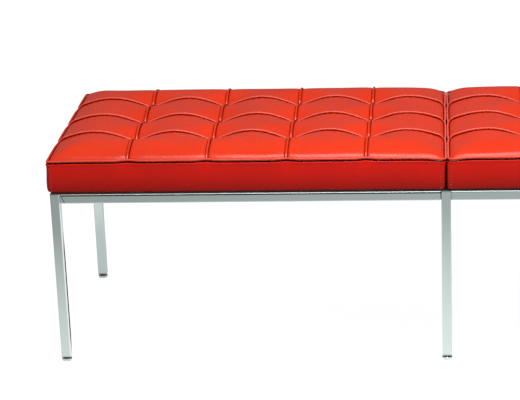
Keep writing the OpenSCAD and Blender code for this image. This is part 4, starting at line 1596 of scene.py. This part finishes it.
def studio_light(studio):
    """Even light from all round, white to the camera and brighter overhead in the metal, with
    one soft lamp above the bench and a larger one in front that shows in no reflection."""
    world = bpy.data.worlds.new("studio_world")
    world.use_nodes = True
    back = world.node_tree.nodes["Background"]
    back.inputs["Color"].default_value = (1, 1, 1, 1)
    path = add_node(world, "ShaderNodeLightPath").outputs
    direction = add_node(world, "ShaderNodeTexCoord").outputs["Generated"]
    mirrored = ranged(world, axes(world, direction)["Z"], LOW_SKY, HIGH_SKY, 0, 1)
    for_metal = mixed_value(world, path["Is Glossy Ray"], studio.sky_strength, mirrored)
    seen = math_node(world, "MAXIMUM", path["Is Camera Ray"], path["Is Transmission Ray"])
    feed(world, mixed_value(world, seen, for_metal, 1.0), back.inputs["Strength"])
    bpy.context.scene.world = world
    soft_lamp("overhead_lamp", LAMP_SIZE, (*LAMP_PLACE, LAMP_HEIGHT), 0, studio.lamp_power)
    front = soft_lamp("front_lamp", FRONT_LAMP_SIZE, FRONT_LAMP_PLACE, FRONT_LAMP_TILT,
                      studio.front_power)
    front.visible_glossy = False


def photo_camera():
    """The camera at the photograph's place, turn and lens."""
    yaw, pitch, tilt = CAMERA_YAW, CAMERA_PITCH, CAMERA_ROLL
    ahead = Vector((math.sin(yaw) * math.cos(pitch), math.cos(yaw) * math.cos(pitch),
                    -math.sin(pitch)))
    right = Vector((math.cos(yaw), -math.sin(yaw), 0))
    up = right.cross(ahead)
    across = math.cos(tilt) * right + math.sin(tilt) * up
    upward = -math.sin(tilt) * right + math.cos(tilt) * up
    data = bpy.data.cameras.new("photo_camera")
    data.sensor_width = SENSOR_MM
    data.lens = FOCAL_PX / PHOTO_WIDTH_PX * SENSOR_MM
    data.shift_x = (PHOTO_WIDTH_PX / 2 - VIEW_CENTRE_PX[0]) / PHOTO_WIDTH_PX
    data.shift_y = (VIEW_CENTRE_PX[1] - PHOTO_HEIGHT_PX / 2) / PHOTO_WIDTH_PX
    data.clip_start, data.clip_end = 0.1, 50
    camera = bpy.data.objects.new("photo_camera", data)
    turn = Matrix((across, upward, -ahead)).transposed().to_4x4()
    camera.matrix_world = Matrix.Translation(CAMERA_PLACE) @ turn
    bpy.context.collection.objects.link(camera)
    bpy.context.scene.camera = camera


# Operators

def cushions(scene):
    """Both cushions, cut as the settings say."""
    return [Cushion(side, scene.bench_cushion) for side in SIDES]


class BENCH_OT_stage(bpy.types.Operator):
    """Sets up the floor, the light, the camera and plain colour management"""

    bl_idname = "bench.stage"
    bl_label = "Stage"

    def execute(self, context):
        context.scene.view_settings.view_transform = "Standard"
        studio_floor(context.scene.bench_studio)
        studio_light(context.scene.bench_studio)
        photo_camera()
        return {"FINISHED"}


class BENCH_OT_tufted_tops(bpy.types.Operator):
    """Makes the tufted leather top of each cushion"""

    bl_idname = "bench.tufted_tops"
    bl_label = "Tufted tops"

    def execute(self, context):
        for cushion in cushions(context.scene):
            tufted_top(cushion, leather(context.scene, "top"))
        return {"FINISHED"}


class BENCH_OT_welts(bpy.types.Operator):
    """Lays covered cords in the seams of the tufted tops"""

    bl_idname = "bench.welts"
    bl_label = "Welts"

    def execute(self, context):
        for cushion in cushions(context.scene):
            long_welts(cushion, leather(context.scene, "cord"))
            short_welts(cushion, leather(context.scene, "cord"))
        return {"FINISHED"}


class BENCH_OT_piping(bpy.types.Operator):
    """Runs the piping round the top edge of each cushion"""

    bl_idname = "bench.piping"
    bl_label = "Piping"

    def execute(self, context):
        for cushion in cushions(context.scene):
            top_piping(cushion, leather(context.scene, "cord"))
        return {"FINISHED"}


class BENCH_OT_foam(bpy.types.Operator):
    """Fills each cushion with its foam slab"""

    bl_idname = "bench.foam"
    bl_label = "Foam slabs"

    def execute(self, context):
        material = material_once("foam_finish", foam_material, FOAM_COLOUR)
        for cushion in cushions(context.scene):
            foam_slab(cushion, material)
        return {"FINISHED"}


class BENCH_OT_side_bands(bpy.types.Operator):
    """Wraps the side band round each cushion and under its board"""

    bl_idname = "bench.side_bands"
    bl_label = "Side bands"

    def execute(self, context):
        for cushion in cushions(context.scene):
            side_band(cushion, leather(context.scene, "band"))
        return {"FINISHED"}


class BENCH_OT_stitching(bpy.types.Operator):
    """Sews the topstitching beside the corner seams"""

    bl_idname = "bench.stitching"
    bl_label = "Corner stitching"

    def execute(self, context):
        colour = context.scene.bench_leather.thread_colour
        thread = material_once("thread_finish", twine_material, colour, THREAD_GLOSS)
        # The needle holes' near-black colour is painted shade.
        hole = material_once("needle_hole_finish", twine_material, HOLE_SHADE_COLOUR, HOLE_GLOSS)
        for cushion in cushions(context.scene):
            corner_stitching(cushion, thread, hole)
        return {"FINISHED"}


class BENCH_OT_dust_cloths(bpy.types.Operator):
    """Staples a dust cloth under each cushion"""

    bl_idname = "bench.dust_cloths"
    bl_label = "Dust cloths"

    def execute(self, context):
        cloth = material_once("dust_cloth_finish", dust_cloth_material, CLOTH_COLOUR)
        for cushion in cushions(context.scene):
            dust_cloth(cushion, cloth)
            staple_row(cushion, zinc_steel())
        return {"FINISHED"}


class BENCH_OT_glide_stems(bpy.types.Operator):
    """Cuts the thread on the six levelling stems"""

    bl_idname = "bench.glide_stems"
    bl_label = "Glide stems"

    def execute(self, context):
        for place in PLACES:
            glide_stem(place, dark_steel())
        return {"FINISHED"}


class BENCH_OT_frame_finish(bpy.types.Operator):
    """Gives the frame, the fixings and the boards their finishes"""

    bl_idname = "bench.frame_finish"
    bl_label = "Frame and fixings"

    def execute(self, context):
        metal = context.scene.bench_metal
        frame_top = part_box("front_left_rail")[1].z
        edge = frame_top - EDGE_HEIGHT
        plate = (metal.chrome_colour, metal.chrome_roughness, edge)
        finishes = {
            "polished_chrome": material_once("chrome_finish", chrome_material, *plate),
            "foot_chrome": material_once("foot_chrome_finish", chrome_material,
                                         FOOT_CHROME_COLOUR, FOOT_CHROME_ROUGHNESS, edge),
            "dark_steel": dark_steel(),
            "zinc_steel": zinc_steel(),
            "nylon": material_once("nylon_finish", nylon_material, NYLON_COLOUR),
            "plywood": material_once("plywood_finish", plywood_material, PLYWOOD_COLOUR,
                                     GLUE_COLOUR),
            "twine": material_once("twine_finish", twine_material, TWINE_COLOUR),
        }
        for part in frame["record"]["subparts"]:
            finish = finishes.get(part["material_slot"])
            thing = frame["nodes"][part["node"]]
            if finish and not thing.hide_render:
                refinish_node(part["node"], finish)
        # The left front rail's dark line is a painted reflection of the shade under the cushion.
        lined = material_once("lined_chrome_finish", chrome_material, *plate,
                              frame_top - LINE_DROP)
        refinish_node("front_left_rail", lined)
        # The front left leg's bright inner side and dark streak are painted reflection.
        streaked = material_once("streaked_chrome_finish", chrome_with_painted_reflection, *plate,
                                 *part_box("front_left_leg"))
        refinish_node("front_left_leg", streaked)
        return {"FINISHED"}


OPERATORS = (
    BENCH_OT_stage,
    BENCH_OT_tufted_tops,
    BENCH_OT_welts,
    BENCH_OT_piping,
    BENCH_OT_foam,
    BENCH_OT_side_bands,
    BENCH_OT_stitching,
    BENCH_OT_dust_cloths,
    BENCH_OT_glide_stems,
    BENCH_OT_frame_finish,
)
SETTINGS = {
    "bench_cushion": CushionCut,
    "bench_leather": LeatherFinish,
    "bench_metal": MetalFinish,
    "bench_studio": StudioSettings,
}


class BENCH_PT_sidebar(bpy.types.Panel):
    """Lists the bench's pieces and their settings"""

    bl_idname = "BENCH_PT_sidebar"
    bl_label = "Upholstered bench"
    bl_space_type = "VIEW_3D"
    bl_region_type = "UI"
    bl_category = "Bench"

    def draw(self, context):
        for kind in OPERATORS:
            self.layout.operator(kind.bl_idname)
        for name, group in SETTINGS.items():
            box = self.layout.box()
            for key in group.__annotations__:
                box.prop(getattr(context.scene, name), key)


def register():
    """Registers the settings, the operators and the panel."""
    for group in SETTINGS.values():
        bpy.utils.register_class(group)
    for name, group in SETTINGS.items():
        setattr(bpy.types.Scene, name, bpy.props.PointerProperty(type=group))
    for kind in (*OPERATORS, BENCH_PT_sidebar):
        bpy.utils.register_class(kind)


def unregister():
    """Takes away what register() made."""
    for kind in (BENCH_PT_sidebar, *reversed(OPERATORS)):
        bpy.utils.unregister_class(kind)
    for name in SETTINGS:
        delattr(bpy.types.Scene, name)
    for group in SETTINGS.values():
        bpy.utils.unregister_class(group)


def main():
    """Dresses the bench."""
    register()
    for kind in OPERATORS:
        group, name = kind.bl_idname.split(".")
        getattr(getattr(bpy.ops, group), name)()


if __name__ == "__main__":
    main()
